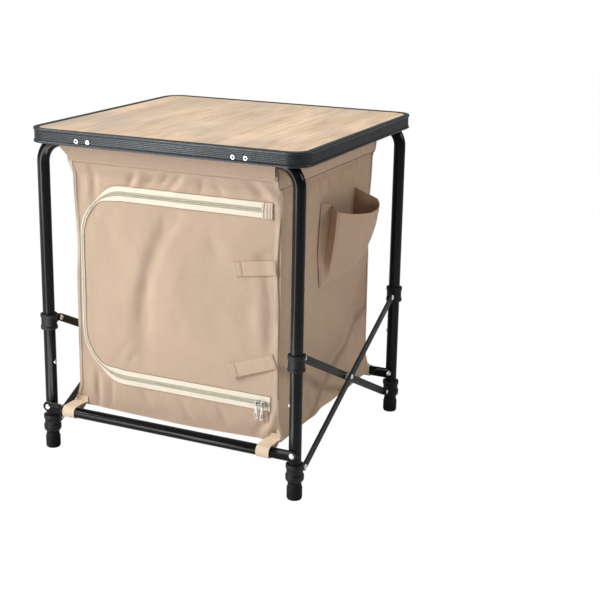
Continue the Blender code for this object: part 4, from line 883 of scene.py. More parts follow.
# Tabletop: printed board in a ribbed extruded edging
topShape = {
    "width": 0.532, "depth": 0.508, "corner": 0.035, "top": 0.600, "skirt": 0.026,
    "face": 0.5990, "boardInset": 0.0103, "grooves": 5, "cornerSteps": 12,
    "under": 0.5935, "ledge": 0.5920, "ledgeTop": 0.5932, "wall": 0.0036, "softEdge": 0.0004,
    "rivetX": 0.150, "rivetShift": 0.0115, "rivetY": 0.2522, "rivetHeight": 0.5835, "rivetPoints": 22,
    # the edging's section, each point as (inset from the outer face, drop from the top or rise from the foot)
    "upperBead": ((0.0009, 0.00005), (0.0003, 0.0005), (0.0, 0.0012), (0.0, 0.0034), (0.0003, 0.0041),
                  (0.0011, 0.0046), (0.0019, 0.0052)),
    "lowerBead": ((0.0019, 0.0052), (0.0011, 0.0046), (0.0003, 0.0041), (0.0, 0.0034), (0.0, 0.0010),
                  (0.0004, 0.0003), (0.0011, 0.0), (0.0030, 0.0)),
    "lip": ((0.0098, 0.0013), (0.0101, 0.0008), (0.0096, 0.0003), (0.0075, 0.00005)),
    # a rib as (inset, share of its pitch), and how far the ribs stay from the top and the foot
    "rib": ((0.0020, 0.0), (0.0014, 0.22), (0.0014, 0.72), (0.0020, 0.92)), "ribMargin": 0.0058,
    "wallRise": 0.0005, "wallDrop": 0.0015, "ledgeInset": 0.0120,
    # (radius, place from the skirt) of a tubular rivet
    "rivet": ((0.0036, 0.0004), (0.0042, -0.0002), (0.0042, -0.0010), (0.0038, -0.0017), (0.0030, -0.0020),
              (0.0022, -0.0018), (0.0016, -0.0011), (0.0014, -0.0003), (0.0014, 0.0002)),
}


def edgingSection():
    # (inset from the outer face, height), once round: upper bead, ribs, lower bead, inner wall, ledge, lip.
    top, bottom, wall = topShape["top"], topShape["top"] - topShape["skirt"], topShape["wall"]
    section = [(inset, top - drop) for inset, drop in topShape["upperBead"]]
    high, low = top - topShape["ribMargin"], bottom + topShape["ribMargin"]
    pitch = (high - low) / topShape["grooves"]
    for k in range(topShape["grooves"]):
        section += [(inset, high - pitch * k - pitch * share) for inset, share in topShape["rib"]]
    section += [(inset, bottom + rise) for inset, rise in topShape["lowerBead"]]
    under, over, reach = topShape["ledge"], topShape["ledgeTop"], topShape["ledgeInset"]
    section += [(wall, bottom + topShape["wallRise"]), (wall, under), (reach, under), (reach, over)]
    section += [(wall, over), (wall, top - topShape["wallDrop"])]
    return section + [(inset, top - drop) for inset, drop in topShape["lip"]]


def buildEdging():
    # The section is drawn along each side and spun round each corner.
    corner = topShape["corner"]
    innerX, innerY = topShape["width"] / 2 - corner, topShape["depth"] / 2 - corner
    outer = -innerY - corner
    edging = addOutline([Vector((-innerX, outer + inset, height)) for inset, height in edgingSection()])
    for x, y, step in ((innerX, -innerY, (2 * innerX, 0, 0)), (innerX, innerY, (0, 2 * innerY, 0)),
                       (-innerX, innerY, (-2 * innerX, 0, 0)), (-innerX, -innerY, (0, -2 * innerY, 0))):
        extrudeBy(step)
        spinAbout((x, y, 0), (0, 0, 1), topShape["cornerSteps"])
    closeShell(merge=0.00002, fill=False)
    finishPiece(edging, "tabletopEdging", "aluminium", "tabletop", ["tabletop_edging"], 28)


def buildBoard():
    inset, under, soft = topShape["boardInset"], topShape["under"], topShape["softEdge"]
    board = addPrimitive(bpy.ops.mesh.primitive_plane_add, size=2, location=(0, 0, under))
    board.scale = (topShape["width"] / 2 - inset, topShape["depth"] / 2 - inset, 1)
    bpy.ops.object.transform_apply(location=True, rotation=True, scale=True)
    startEdit(board)
    bpy.ops.mesh.bevel(offset=topShape["corner"] - inset, segments=10, affect="VERTICES")
    bpy.ops.mesh.select_all(action="SELECT")
    extrudeBy((0, 0, topShape["face"] - under - soft))
    bpy.ops.mesh.inset(thickness=0.0005, depth=0.0)
    bpy.ops.transform.translate(value=(0, 0, soft))
    endEdit()
    finishPiece(board, "tabletopBoard", "oak", "tabletop", ["tabletop_board"], 30)


def buildSkirtRivets():
    # Tubular rivets that hold the clips behind the skirt.
    model = lathe(list(topShape["rivet"]), (0, 0, 0), "Y", topShape["rivetPoints"])
    parts = []
    for way, end, body in ends:
        for side, hand in hands:
            for shift in (-topShape["rivetShift"], topShape["rivetShift"]):
                spot = (side * topShape["rivetX"] + shift, way * topShape["rivetY"], topShape["rivetHeight"])
                parts.append(copyPiece(model, placeAt(spot, way > 0)))
    discard(model)
    finishPiece(joinPieces(parts), "skirtRivets", "silver", "tabletop")


buildEdging()
buildBoard()
buildSkirtRivets()
for way, end, body in ends:
    for side, hand in hands:
        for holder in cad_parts["tabletop_clip_" + end + "_" + hand].material_slots:
            holder.material = finishes["plastic"]
print("tabletop modelled")

# Fabric cabinet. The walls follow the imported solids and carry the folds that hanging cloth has.
cabinet = {
    "halfWidth": 0.2075, "halfDepth": 0.2045, "bottom": 0.086, "sideTop": 0.588, "seam": 0.546,
    "seamDepth": 0.2185, "slope": 0.512, "cloth": 0.0012, "ripple": 0.0015, "ripples": 3,
    "draws": ((0.086, 0.0), (0.130, 0.0080), (0.323, 0.0085), (0.386, 0.0115), (0.512, 0.0060)),
    "hemSag": 0.0035, "foldDepth": 1.6, "header": 0.5270, "sideFolds": 1.35, "seamHalf": 0.2000,
    "topFlare": 0.0085, "seamEase": 0.020, "hemDepth": 0.0125, "hemStep": 0.0008, "hemLap": 0.0005,
    "stitchRise": 0.0100, "stitchHalf": 0.2000, "stitchSteps": 120, "shelves": (0.0973, 0.3205),
    "endFlat": (0.415, 0.46), "endCells": (102, 115), "sideFlat": (0.42, 0.505), "sideCells": (102, 125),
    "sideGap": 0.0009,
}
# how quickly the folds die out, in metres: under the seam, over the hem and beside the held places
calm = {"seam": 0.012, "hem": 0.020, "belowHem": 0.014, "corner": 0.006, "window": 0.020, "shelf": 0.014,
        "shelfEdge": 0.004, "sewn": 0.012, "sewnEdge": 0.004, "header": 0.008, "sideEdge": 0.012}
zipShape = {
    "left": 0.186, "top": 0.490, "bottom": 0.152, "corner": 0.085, "endX": 0.188, "halfTape": 0.014,
    "halfTapeCurve": 0.0036, "lap": 0.57, "face": 0.2054, "tape": 0.0008, "hinge": 0.198, "coilPitch": 0.0017,
    "flat": (1.02, 0.014), "area": 0.0100, "inner": 0.0006, "bands": (0.0, 0.10, 0.22, 0.45, 0.70, 0.92, 1.0),
    "guard": 0.0014, "guardCloth": 0.0004, "guardBack": 0.0010, "lapGap": 0.0003, "hingeGap": 0.0009,
    "curveFrom": 50, "curveEase": 30, "gather": 0.011, "gatherFrom": 0.013, "gatherFade": 0.009,
    "flatTo": 0.011, "flatFade": 0.013, "sliderTop": 0.170, "sliderFade": 0.060,
    "laid": 0.0004, "crown": 0.0002, "stitchFace": 0.0010, "coilOut": 0.0013, "coilFace": 0.0009,
    "wide": 0.010, "edgeRow": 0.0016, "middleRow": 0.46,
}


def wallDepth(z):
    rise = easeStep((z - cabinet["slope"]) / (cabinet["seam"] - cabinet["slope"]))
    return cabinet["halfDepth"] + (cabinet["seamDepth"] - cabinet["halfDepth"]) * rise


def drawIn(z):
    draws = cabinet["draws"]
    for (low, start), (high, end) in zip(draws, draws[1:]):
        if z <= high:
            return start + (end - start) * easeStep((z - low) / (high - low))
    return draws[-1][1]


def sideX(y, z):
    up = clamp((z - cabinet["bottom"]) / (cabinet["sideTop"] - cabinet["bottom"]))
    across = clamp((y / cabinet["halfDepth"] + 1) / 2)
    fold = 0.5 - 0.5 * math.cos(2 * math.pi * cabinet["ripples"] * across)
    return cabinet["halfWidth"] - drawIn(z) - cabinet["ripple"] * fold * math.sin(math.pi * up)


def wallHalfWidth(z):
    seamHalf, above = cabinet["seamHalf"], z - cabinet["seam"]
    if above > 0:
        return seamHalf + cabinet["topFlare"] * easeStep(above / (frameShape["rail"] - cabinet["seam"]))
    edge = cabinet["halfWidth"] + cabinet["cloth"] / 2 - drawIn(z)
    return seamHalf + (edge - seamHalf) * easeStep(-above / cabinet["seamEase"])


def rumple(a, b, *layers):
    # Uneven swells; each layer has its height, its seed and the width of a swell.
    return sum(height * noise.noise(Vector((a / size, b / size, seed))) for height, seed, size in layers)


def creaseLift(a, b, creases):
    # Long soft ridges (height above 0) and valleys (below 0), each fading towards its ends.
    lift = 0.0
    for (a0, b0), (a1, b1), width, height in creases:
        runA, runB = a1 - a0, b1 - b0
        inside = clamp(((a - a0) * runA + (b - b0) * runB) / (runA * runA + runB * runB))
        near = ((a - a0 - runA * inside) ** 2 + (b - b0 - runB * inside) ** 2) / (width * width)
        if near < 9:
            fade = 0.35 + 0.65 * math.sin(math.pi * inside)
            lift += height * cabinet["foldDepth"] * math.exp(-near) * fade
    return lift


frontCreases = [
    ((-0.098, 0.494), (-0.073, 0.528), 0.0055, -0.0022), ((-0.083, 0.494), (-0.058, 0.530), 0.0060, 0.0016),
    ((-0.062, 0.500), (-0.030, 0.530), 0.0055, -0.0014), ((-0.032, 0.508), (0.004, 0.540), 0.0050, -0.0018),
    ((-0.020, 0.494), (0.021, 0.536), 0.0055, -0.0020), ((0.000, 0.498), (0.036, 0.534), 0.0070, 0.0012),
    ((0.050, 0.500), (0.063, 0.532), 0.0060, -0.0015), ((0.084, 0.522), (0.100, 0.494), 0.0060, -0.0015),
    ((0.144, 0.541), (0.184, 0.496), 0.0085, -0.0026), ((0.168, 0.543), (0.200, 0.505), 0.0075, 0.0020),
    ((-0.160, 0.530), (-0.157, 0.440), 0.0070, -0.0018), ((-0.172, 0.540), (-0.170, 0.120), 0.0075, 0.0014),
    ((-0.196, 0.530), (-0.195, 0.120), 0.0080, -0.0016), ((-0.183, 0.480), (-0.188, 0.150), 0.0060, 0.0008),
    ((-0.161, 0.160), (-0.160, 0.088), 0.0050, -0.0020), ((-0.150, 0.150), (-0.148, 0.088), 0.0050, 0.0010),
    ((-0.131, 0.150), (-0.132, 0.095), 0.0050, -0.0016), ((-0.072, 0.138), (-0.050, 0.110), 0.0060, -0.0012),
    ((0.010, 0.128), (0.030, 0.100), 0.0060, -0.0010), ((0.085, 0.130), (0.105, 0.098), 0.0070, -0.0012),
    ((0.178, 0.092), (0.204, 0.140), 0.0090, 0.0026), ((0.160, 0.092), (0.186, 0.130), 0.0080, -0.0018),
    ((0.190, 0.088), (0.206, 0.112), 0.0060, -0.0016),
]
doorCreases = [
    ((0.010, 0.482), (-0.028, 0.412), 0.0150, -0.0040), ((-0.028, 0.412), (-0.048, 0.355), 0.0150, -0.0042),
    ((-0.048, 0.355), (-0.061, 0.307), 0.0140, -0.0046), ((-0.061, 0.307), (-0.062, 0.243), 0.0150, -0.0040),
    ((-0.062, 0.250), (-0.058, 0.165), 0.0170, -0.0020), ((-0.045, 0.440), (-0.092, 0.270), 0.0230, 0.0022),
    ((0.020, 0.400), (-0.020, 0.260), 0.0260, 0.0014), ((0.072, 0.445), (0.090, 0.390), 0.0110, -0.0014),
    ((0.150, 0.405), (0.196, 0.414), 0.0085, -0.0024), ((0.176, 0.385), (0.190, 0.336), 0.0085, -0.0030),
    ((0.188, 0.336), (0.192, 0.300), 0.0080, -0.0028), ((0.191, 0.300), (0.184, 0.250), 0.0085, -0.0026),
    ((0.166, 0.350), (0.166, 0.250), 0.0120, 0.0022), ((-0.095, 0.180), (-0.075, 0.205), 0.0060, -0.0012),
    ((-0.115, 0.190), (-0.098, 0.215), 0.0060, -0.0010), ((0.120, 0.180), (0.170, 0.190), 0.0120, -0.0014),
    ((0.060, 0.300), (0.110, 0.240), 0.0300, -0.0016), ((-0.130, 0.440), (-0.120, 0.380), 0.0120, -0.0010),
]
rightCreases = [
    ((0.190, 0.300), (0.140, 0.150), 0.0180, -0.0042), ((-0.050, 0.075), (0.040, 0.118), 0.0130, -0.0036),
    ((-0.036, 0.310), (-0.032, 0.200), 0.0160, 0.0026), ((0.075, 0.098), (0.170, 0.140), 0.0140, 0.0026),
    ((0.108, 0.510), (0.188, 0.455), 0.0110, -0.0020), ((0.000, 0.290), (0.095, 0.165), 0.0240, 0.0024),
    ((-0.120, 0.520), (-0.100, 0.480), 0.0060, -0.0030), ((-0.100, 0.522), (-0.085, 0.492), 0.0050, 0.0022),
    ((-0.076, 0.522), (-0.070, 0.505), 0.0055, -0.0018), ((-0.045, 0.522), (-0.036, 0.490), 0.0060, -0.0022),
    ((-0.006, 0.522), (0.004, 0.494), 0.0060, -0.0027), ((0.036, 0.522), (0.050, 0.490), 0.0070, -0.0022),
    ((0.100, 0.522), (0.112, 0.495), 0.0060, -0.0027), ((0.150, 0.522), (0.160, 0.492), 0.0060, -0.0022),
    ((-0.180, 0.520), (-0.176, 0.140), 0.0100, 0.0014), ((-0.150, 0.480), (-0.155, 0.200), 0.0160, -0.0018),
    ((-0.085, 0.440), (-0.095, 0.330), 0.0140, 0.0016), ((-0.110, 0.200), (-0.060, 0.095), 0.0160, 0.0022),
]
leftCreases = [
    ((-0.150, 0.520), (-0.120, 0.200), 0.0200, -0.0030), ((0.120, 0.500), (0.090, 0.180), 0.0220, -0.0030),
    ((-0.040, 0.420), (-0.020, 0.150), 0.0260, 0.0026), ((0.060, 0.160), (0.150, 0.095), 0.0140, -0.0028),
    ((-0.160, 0.095), (-0.060, 0.150), 0.0150, -0.0026), ((0.175, 0.500), (0.180, 0.200), 0.0120, 0.0018),
    ((-0.110, 0.522), (-0.096, 0.490), 0.0060, -0.0027), ((-0.050, 0.522), (-0.060, 0.494), 0.0060, -0.0024),
    ((0.010, 0.522), (0.006, 0.492), 0.0060, -0.0024), ((0.070, 0.522), (0.082, 0.492), 0.0060, -0.0024),
    ((0.130, 0.522), (0.124, 0.495), 0.0060, -0.0024), ((-0.060, 0.300), (0.060, 0.250), 0.0200, 0.0018),
]
rearCreases = [
    ((-0.150, 0.530), (-0.165, 0.200), 0.0140, -0.0026), ((0.150, 0.530), (0.160, 0.180), 0.0140, -0.0026),
    ((-0.060, 0.330), (-0.030, 0.120), 0.0240, -0.0030), ((0.060, 0.340), (0.040, 0.130), 0.0240, 0.0026),
    ((-0.130, 0.345), (0.000, 0.300), 0.0140, 0.0016), ((0.120, 0.345), (0.030, 0.310), 0.0140, -0.0016),
    ((-0.100, 0.535), (-0.085, 0.505), 0.0060, -0.0016), ((-0.020, 0.538), (-0.010, 0.506), 0.0060, -0.0016),
    ((0.060, 0.538), (0.052, 0.506), 0.0060, -0.0016), ((0.120, 0.535), (0.134, 0.502), 0.0060, -0.0016),
    ((-0.170, 0.110), (-0.130, 0.150), 0.0100, 0.0020), ((0.170, 0.110), (0.130, 0.150), 0.0100, 0.0020),
]


def curveCentre(z):
    # What the zip's rounded left side is measured from at this height.
    radius = zipShape["corner"]
    return radius - zipShape["left"], clamp(z, zipShape["bottom"] + radius, zipShape["top"] - radius)


def zipGap(x, z):
    # Distance from the zip's line.
    middle, nearest = curveCentre(z)
    if x >= middle:
        return min(abs(z - zipShape["top"]), abs(z - zipShape["bottom"]))
    return abs(math.hypot(x - middle, z - nearest) - zipShape["corner"])


def reachAt(degrees):
    # The tape is narrow round the left side, up to an angle from level.
    slim = zipShape["halfTapeCurve"]
    ease = easeStep((abs(degrees) - zipShape["curveFrom"]) / zipShape["curveEase"])
    return slim + (zipShape["halfTape"] - slim) * ease


def tapeReach(x, z):
    middle, nearest = curveCentre(z)
    if x >= middle:
        return zipShape["halfTape"]
    return reachAt(math.degrees(math.atan2(z - nearest, middle - x)))


def seamCalm(z):
    # Folds die out towards the seam and the hem.
    overHem = easeStep((z - cabinet["bottom"] + calm["belowHem"]) / calm["hem"])
    return easeStep((cabinet["seam"] - z) / calm["seam"]) * overHem


def fromCorner(x, z):
    # 0 at a wall's upright edge, 1 a little way in.
    return easeStep((wallHalfWidth(z) - abs(x)) / calm["corner"])


def zipGathers(x, z, height, seed):
    # Fine gathers beside the zip.
    beyond = max(zipGap(x, z) - zipShape["gatherFrom"], 0.0)
    fade = math.exp(-beyond / zipShape["gatherFade"])
    return rumple(x, z * 0.45, (height, seed, zipShape["gather"])) * fade


def frontRelief(x, z):
    # How far the front wall stands out of its plane, towards the viewer. It lies flat under the sliders.
    lift = creaseLift(x, z, frontCreases) + rumple(x, z, (0.0022, 3.1, 0.075), (0.0009, 7.7, 0.026))
    lift += zipGathers(x, z, 0.0011, 9.3)
    away = easeStep((zipGap(x, z) - zipShape["flatTo"]) / zipShape["flatFade"])
    level = 0.45 * easeStep((z - zipShape["sliderTop"]) / zipShape["sliderFade"])
    corner = fromCorner(x, z)
    lift *= seamCalm(z) * (level + (1 - level) * away) * (0.25 + 0.75 * corner)
    return lift - 0.0008 * (1 - corner) ** 2


def rearRelief(x, z):
    lift = creaseLift(x, z, rearCreases) + rumple(x, z, (0.0014, 13.1, 0.08), (0.0005, 17.7, 0.026))
    low, high = windowShape["low"] - windowShape["margin"], windowShape["high"] + windowShape["margin"]
    beyond = max(abs(x) - windowShape["half"] - windowShape["margin"], low - z, z - high)
    corner = fromCorner(x, z)
    return lift * seamCalm(z) * easeStep(beyond / calm["window"]) * corner - 0.0022 * (1 - corner) ** 2


def sideRelief(y, z, creases, seed, flatArea):
    # Shelves and sewn-on pieces hold the cloth: it doesn't go inwards at a shelf's edge.
    lift = cabinet["sideFolds"] * creaseLift(y, z, creases)
    lift += rumple(y, z, (0.0017, seed, 0.09), (0.0005, seed + 5, 0.028))
    if lift < 0:
        for shelf in cabinet["shelves"]:
            lift *= 0.1 + 0.9 * easeStep((abs(z - shelf) - calm["shelfEdge"]) / calm["shelf"])
    (lowY, lowZ), (highY, highZ) = flatArea
    lift *= easeStep((max(lowY - y, y - highY, lowZ - z, z - highZ) + calm["sewnEdge"]) / calm["sewn"])
    # fine gathers near the top, and a groove where the header band is sewn on
    lift += rumple(y, z * 0.25, (0.0034, seed + 7, 0.012)) * easeStep((z - 0.480) / 0.030)
    lift *= 0.15 + 0.85 * easeStep((cabinet["header"] - z) / calm["header"])
    groove = 0.0030 * math.exp(-((z - cabinet["header"] + 0.0045) / 0.0045) ** 2)
    return (lift - groove) * easeStep((wallDepth(z) - abs(y)) / calm["sideEdge"])


def zipSpots():
    # Dense points along the zip, top right to bottom right: place, outward direction, tape reach.
    left, top, bottom, radius, endX = (zipShape[k] for k in ("left", "top", "bottom", "corner", "endX"))
    middle = radius - left
    upper = [(endX + (middle - endX) * t, top, 0.0, 1.0, zipShape["halfTape"]) for t in shares(40)[:-1]]
    lower = [(middle + (endX - middle) * t, bottom, 0.0, -1.0, zipShape["halfTape"]) for t in shares(40)[1:]]
    curves = []
    for z, start in ((top - radius, 90), (bottom + radius, 180)):
        curve = []
        for t in shares(24):
            degrees = start + 90 * t
            outX, outZ = math.cos(math.radians(degrees)), math.sin(math.radians(degrees))
            curve.append((middle + radius * outX, z + radius * outZ, outX, outZ, reachAt(degrees - 180)))
        curves.append(curve)
    high, low = top - radius, bottom + radius
    heights = [high + (low - high) * t for t in shares(12)[1:-1]]
    upright = [(-left, z, -1.0, 0.0, zipShape["halfTapeCurve"]) for z in heights]
    return upper + curves[0] + upright + curves[1] + lower


zipLine = zipSpots()


def besideZip(spot, offset):
    # A place off the zip's line, outwards where the offset is above 0.
    x, z, outX, outZ, reach = spot
    return x + outX * offset, z + outZ * offset


def lapLine(way):
    return [besideZip(spot, way * spot[4] * zipShape["lap"]) for spot in zipLine]


def openingOutline():
    lap = zipShape["halfTape"] * zipShape["lap"] - zipShape["lapGap"]
    edge = zipShape["hinge"] + zipShape["hingeGap"]
    low, high = zipShape["bottom"] + lap, zipShape["top"] - lap
    return lapLine(1) + [(zipShape["endX"], low), (edge, low), (edge, high), (zipShape["endX"], high)]


def insideOutline(x, z, outline):
    inside = False
    for (x0, z0), (x1, z1) in zip(outline, outline[1:] + outline[:1]):
        if (z0 > z) != (z1 > z) and x < x0 + (x1 - x0) * (z - z0) / (z1 - z0):
            inside = not inside
    return inside


def nearestOnOutline(x, z, outline):
    best, found = 1e9, (x, z)
    for (x0, z0), (x1, z1) in zip(outline, outline[1:] + outline[:1]):
        runX, runZ = x1 - x0, z1 - z0
        length = runX * runX + runZ * runZ
        if length < 1e-14:
            continue
        t = clamp(((x - x0) * runX + (z - z0) * runZ) / length)
        spotX, spotZ = x0 + runX * t, z0 + runZ * t
        gap = (x - spotX) ** 2 + (z - spotZ) ** 2
        if gap < best:
            best, found = gap, (spotX, spotZ)
    return found


def roundedBox(half, low, high, corner, steps):
    # Points round a box with rounded corners, from -half to half across and from low to high.
    spots = []
    for k, (side, middle) in enumerate(((1, high - corner), (-1, high - corner), (-1, low + corner),
                                        (1, low + corner))):
        for t in shares(steps):
            turn = math.pi / 2 * (k + t)
            spots.append((side * (half - corner) + corner * math.cos(turn), middle + corner * math.sin(turn)))
    return spots


def pickAt(row, share):
    # The entry of a list at a share of its length.
    return row[round(share * (len(row) - 1))]


def lengthOf(path):
    return sum((second - first).length for first, second in zip(path, path[1:]))


def wrapRound(bar, apex, radius, steps):
    # The way round a bar for cloth that leaves it on both sides towards the apex.
    reach = apex - bar
    heading = math.atan2(reach.y, reach.x)
    touch = math.acos(radius / reach.length)
    turns = [heading + touch + (2 * math.pi - 2 * touch) * t for t in shares(steps)]
    return [Vector((bar.x + radius * math.cos(turn), bar.y + radius * math.sin(turn))) for turn in turns]


# Cutting and sewing


def clothGrid(columns, rows, place, flat):
    # A grid laid by place(u, v); its UV map is the flat cloth in metres, so the weave follows it.
    piece = addPrimitive(bpy.ops.mesh.primitive_grid_add, x_subdivisions=columns, y_subdivisions=rows, size=1,
                         calc_uvs=True)
    mesh = piece.data
    flatSpots = [(v.co.x + 0.5, v.co.y + 0.5) for v in mesh.vertices]
    layer = mesh.uv_layers.active.data
    for loop in mesh.loops:
        u, v = flatSpots[loop.vertex_index]
        layer[loop.index].uv = (u * flat[0], v * flat[1])
    for vertex, (u, v) in zip(mesh.vertices, flatSpots):
        vertex.co = place(u, v)
    return piece


def trimCloth(piece, outline, depthAt, keepInside):
    # Faces on the wrong side of the outline go, and the points along the cut move on to it.
    bm = bmesh.new()
    bm.from_mesh(piece.data)
    doomed = []
    for face in bm.faces:
        middle = face.calc_center_median()
        if insideOutline(middle.x, middle.z, outline) != keepInside:
            doomed.append(face)
    rim = {vertex for face in doomed for vertex in face.verts}
    bmesh.ops.delete(bm, geom=doomed, context="FACES")
    for vertex in bm.verts:
        if vertex in rim:
            x, z = nearestOnOutline(vertex.co.x, vertex.co.z, outline)
            vertex.co = (x, depthAt(x, z), z)
    bm.to_mesh(piece.data)
    bm.free()


def thicken(piece, thickness):
    step = piece.modifiers.new("clothThickness", "SOLIDIFY")
    step.thickness = thickness
    step.offset = 0
    applyModifiers(piece)


def makeCloth(name, grid, place, flat, thickness, finish, body, replaced=(),
              angle=50, cut=None):
    # One sewn piece, cut to an outline where one is given.
    piece = clothGrid(*grid, place, flat)
    if cut:
        trimCloth(piece, *cut)
    thicken(piece, thickness)
    return finishPiece(piece, name, finish, body, replaced, angle)


def makeBead():
    # One small rounded lump, 1 m across in each direction, copied for stitches and zip teeth.
    bead = addPrimitive(bpy.ops.mesh.primitive_uv_sphere_add, segments=7, ring_count=4, radius=0.5)
    bpy.ops.object.transform_apply(location=True, rotation=True, scale=True)
    spots = [tuple(v.co) for v in bead.data.vertices]
    faces = [tuple(face.vertices) for face in bead.data.polygons]
    discard(bead)
    return spots, faces


beadSpots, beadFaces = makeBead()


def beadRow(name, marks, sizes, finish, body):
    # Copies of the bead at (place, along, outwards), with sizes along, across and outwards.
    points, faces = [], []
    for place, along, out in marks:
        along = Vector(along).normalized()
        out = Vector(out)
        out = (out - along * out.dot(along)).normalized()
        across = out.cross(along)
        start = len(points)
        for x, y, z in beadSpots:
            points.append(place + along * (z * sizes[0]) + across * (y * sizes[1]) + out * (x * sizes[2]))
        faces += [tuple(start + i for i in face) for face in beadFaces]
    mesh = bpy.data.meshes.new(name)
    mesh.from_pydata(points, [], faces)
    return finishPiece(addObject(name, mesh), name, finish, body, angle=80)


def stitchMarks(path, out, pitch):
    # Evenly spaced marks along a list of points.
    marks, left = [], pitch / 2
    for first, second in zip(path, path[1:]):
        run = second - first
        length = run.length
        if length < 1e-9:
            continue
        while left < length:
            marks.append((first + run * (left / length), run, out))
            left += pitch
        left -= length
    return marks


def sew(name, paths, out, body, length=0.0030, thick=0.0006, pitch=0.0042, thread="thread"):
    # One piece for all the stitches along the paths.
    marks = [mark for path in paths for mark in stitchMarks(path, out, pitch)]
    return beadRow(name, marks, (length, thick, thick), thread, body)


def foldWithFrame(piece):
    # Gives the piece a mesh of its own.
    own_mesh(piece)
    return piece


# Front and rear walls, each hung from its rail by a sleeve
sleeveShape = {
    "cloth": 0.0008, "gap": 0.0003, "width": 0.41, "columns": 100, "wrapSteps": 44,
    "seeds": {"front": 4.0, "rear": 9.0},
    # points from the seam: the outer layer's lap over the wall, and the end of the inner layer
    "lap": ((0.0026, -0.0034), (0.0025, -0.0016), (0.0022, 0.0004)), "end": (-0.0012, -0.0010),
    "lapEase": 0.0018, "stitchHalf": 0.1985, "stitchOut": 0.0030, "stitchUp": 0.0006,
}


def hemLap(z):
    # The turned hem stands out by its second layer.
    return cabinet["hemLap"] * easeStep((cabinet["bottom"] + cabinet["hemDepth"] - z) / cabinet["hemStep"])


def hemHeight(x, way):
    # The front hem sags a little between its loops.
    sag = cabinet["hemSag"] if way < 0 else 0.0
    return cabinet["bottom"] - sag * math.sin(math.pi * clamp((x + 0.19) / 0.38)) ** 2


def sleeveOutline():
    # Once round the rail from the seam, with the outer side lapped over the wall below the seam.
    rail = Vector((frameShape["legY"], frameShape["rail"]))
    apex = Vector((cabinet["seamDepth"], cabinet["seam"]))
    radius = frameShape["radius"] + sleeveShape["gap"] + sleeveShape["cloth"] / 2
    wrap = wrapRound(rail, apex, radius, sleeveShape["wrapSteps"])
    outer = [apex + Vector(step) for step in sleeveShape["lap"]]
    for t in (0.12, 0.3, 0.5, 0.7, 0.88):
        outer.append(apex + Vector((sleeveShape["lapEase"] * (1 - t), 0.0)) + (wrap[0] - apex) * t)
    inner = [wrap[-1] + (apex - wrap[-1]) * t for t in (0.15, 0.4, 0.65, 0.9)]
    return outer + wrap + inner + [apex + Vector(sleeveShape["end"])]


def buildSleeve(way, end, body):
    name, seed = end + "Sleeve", sleeveShape["seeds"][end]
    outline = sleeveOutline()
    flat = (sleeveShape["width"], lengthOf(outline))

    def place(u, v):
        spot = pickAt(outline, v)
        x = (2 * u - 1) * wallHalfWidth(max(spot.y, cabinet["seam"]))
        # loose between the rail and the seam, tight on both
        loose = easeStep((frameShape["rail"] - 0.009 - spot.y) / 0.012)
        loose *= easeStep((spot.y - cabinet["seam"] + 0.004) / 0.008)
        depth = spot.x + loose * rumple(x, spot.y, (0.0011, seed, 0.030), (0.0005, seed + 3, 0.011))
        return (x, way * depth, spot.y)

    sleeve = makeCloth(name, (sleeveShape["columns"], len(outline) - 1), place, flat, sleeveShape["cloth"],
                       "canvas", body, angle=55)
    # one row of stitches just above the seam
    y, z = way * (cabinet["seamDepth"] + sleeveShape["stitchOut"]), cabinet["seam"] + sleeveShape["stitchUp"]
    path = [Vector((sleeveShape["stitchHalf"] * (2 * t - 1), y, z)) for t in shares(sleeveShape["columns"])]
    seam = sew(name + "Stitches", [path], (0, way, 0.1), body)
    return sleeve


def hangEndWall(way, end, body, relief, opening, area):
    def depthAt(x, z):
        return way * (wallDepth(z) + relief(x, z) + hemLap(z))

    def place(u, v):
        across = math.copysign(abs(2 * u - 1) ** 0.92, 2 * u - 1)
        low = hemHeight(across * cabinet["halfWidth"], way)
        z = low + (cabinet["seam"] + 0.0005 - low) * v
        x = across * wallHalfWidth(z)
        return (x, depthAt(x, z), z)

    wall = makeCloth(end + "Wall", cabinet["endCells"], place, cabinet["endFlat"], cabinet["cloth"], "canvas",
                     body, replaced=[end + "_panel"], cut=(opening, depthAt, False))
    sleeve = buildSleeve(way, end, body)
    path = []
    for t in shares(cabinet["stitchSteps"]):
        x = cabinet["stitchHalf"] * (2 * t - 1)
        z = hemHeight(x, way) + cabinet["stitchRise"]
        path.append(Vector((x, depthAt(x, z) + way * (cabinet["cloth"] / 2 + 0.0001), z)))
    hem = sew(end + "HemStitches", [path], (0, way, 0), body)
    return wall, depthAt


frontWall, frontDepth = hangEndWall(*ends[0], frontRelief, openingOutline(), 0.0595)
print("front wall hung")

# Rear wall with its window
windowShape = {
    "half": 0.120, "low": 0.358, "high": 0.490, "corner": 0.022, "margin": 0.030, "face": 0.20565,
    "stitchFace": 0.2068, "cloth": 0.0006, "flat": (0.016, 0.756), "steps": 8, "tapeSteps": 10,
    # (distance outwards from the opening, height) across the tape, and its two rows of stitches
    "section": ((0.0002, 0.0), (0.0015, 0.0006), (0.0080, 0.0010), (0.0145, 0.0006), (0.0158, 0.0)),
    "rows": (("Inner", 0.0028), ("Outer", 0.0132)),
}


def windowOutline(grow, steps):
    return roundedBox(windowShape["half"] + grow, windowShape["low"] - grow, windowShape["high"] + grow,
                      windowShape["corner"] + grow, steps)


rearWall, rearDepth = hangEndWall(*ends[1], rearRelief, windowOutline(0.0, windowShape["steps"]), 0.1590)


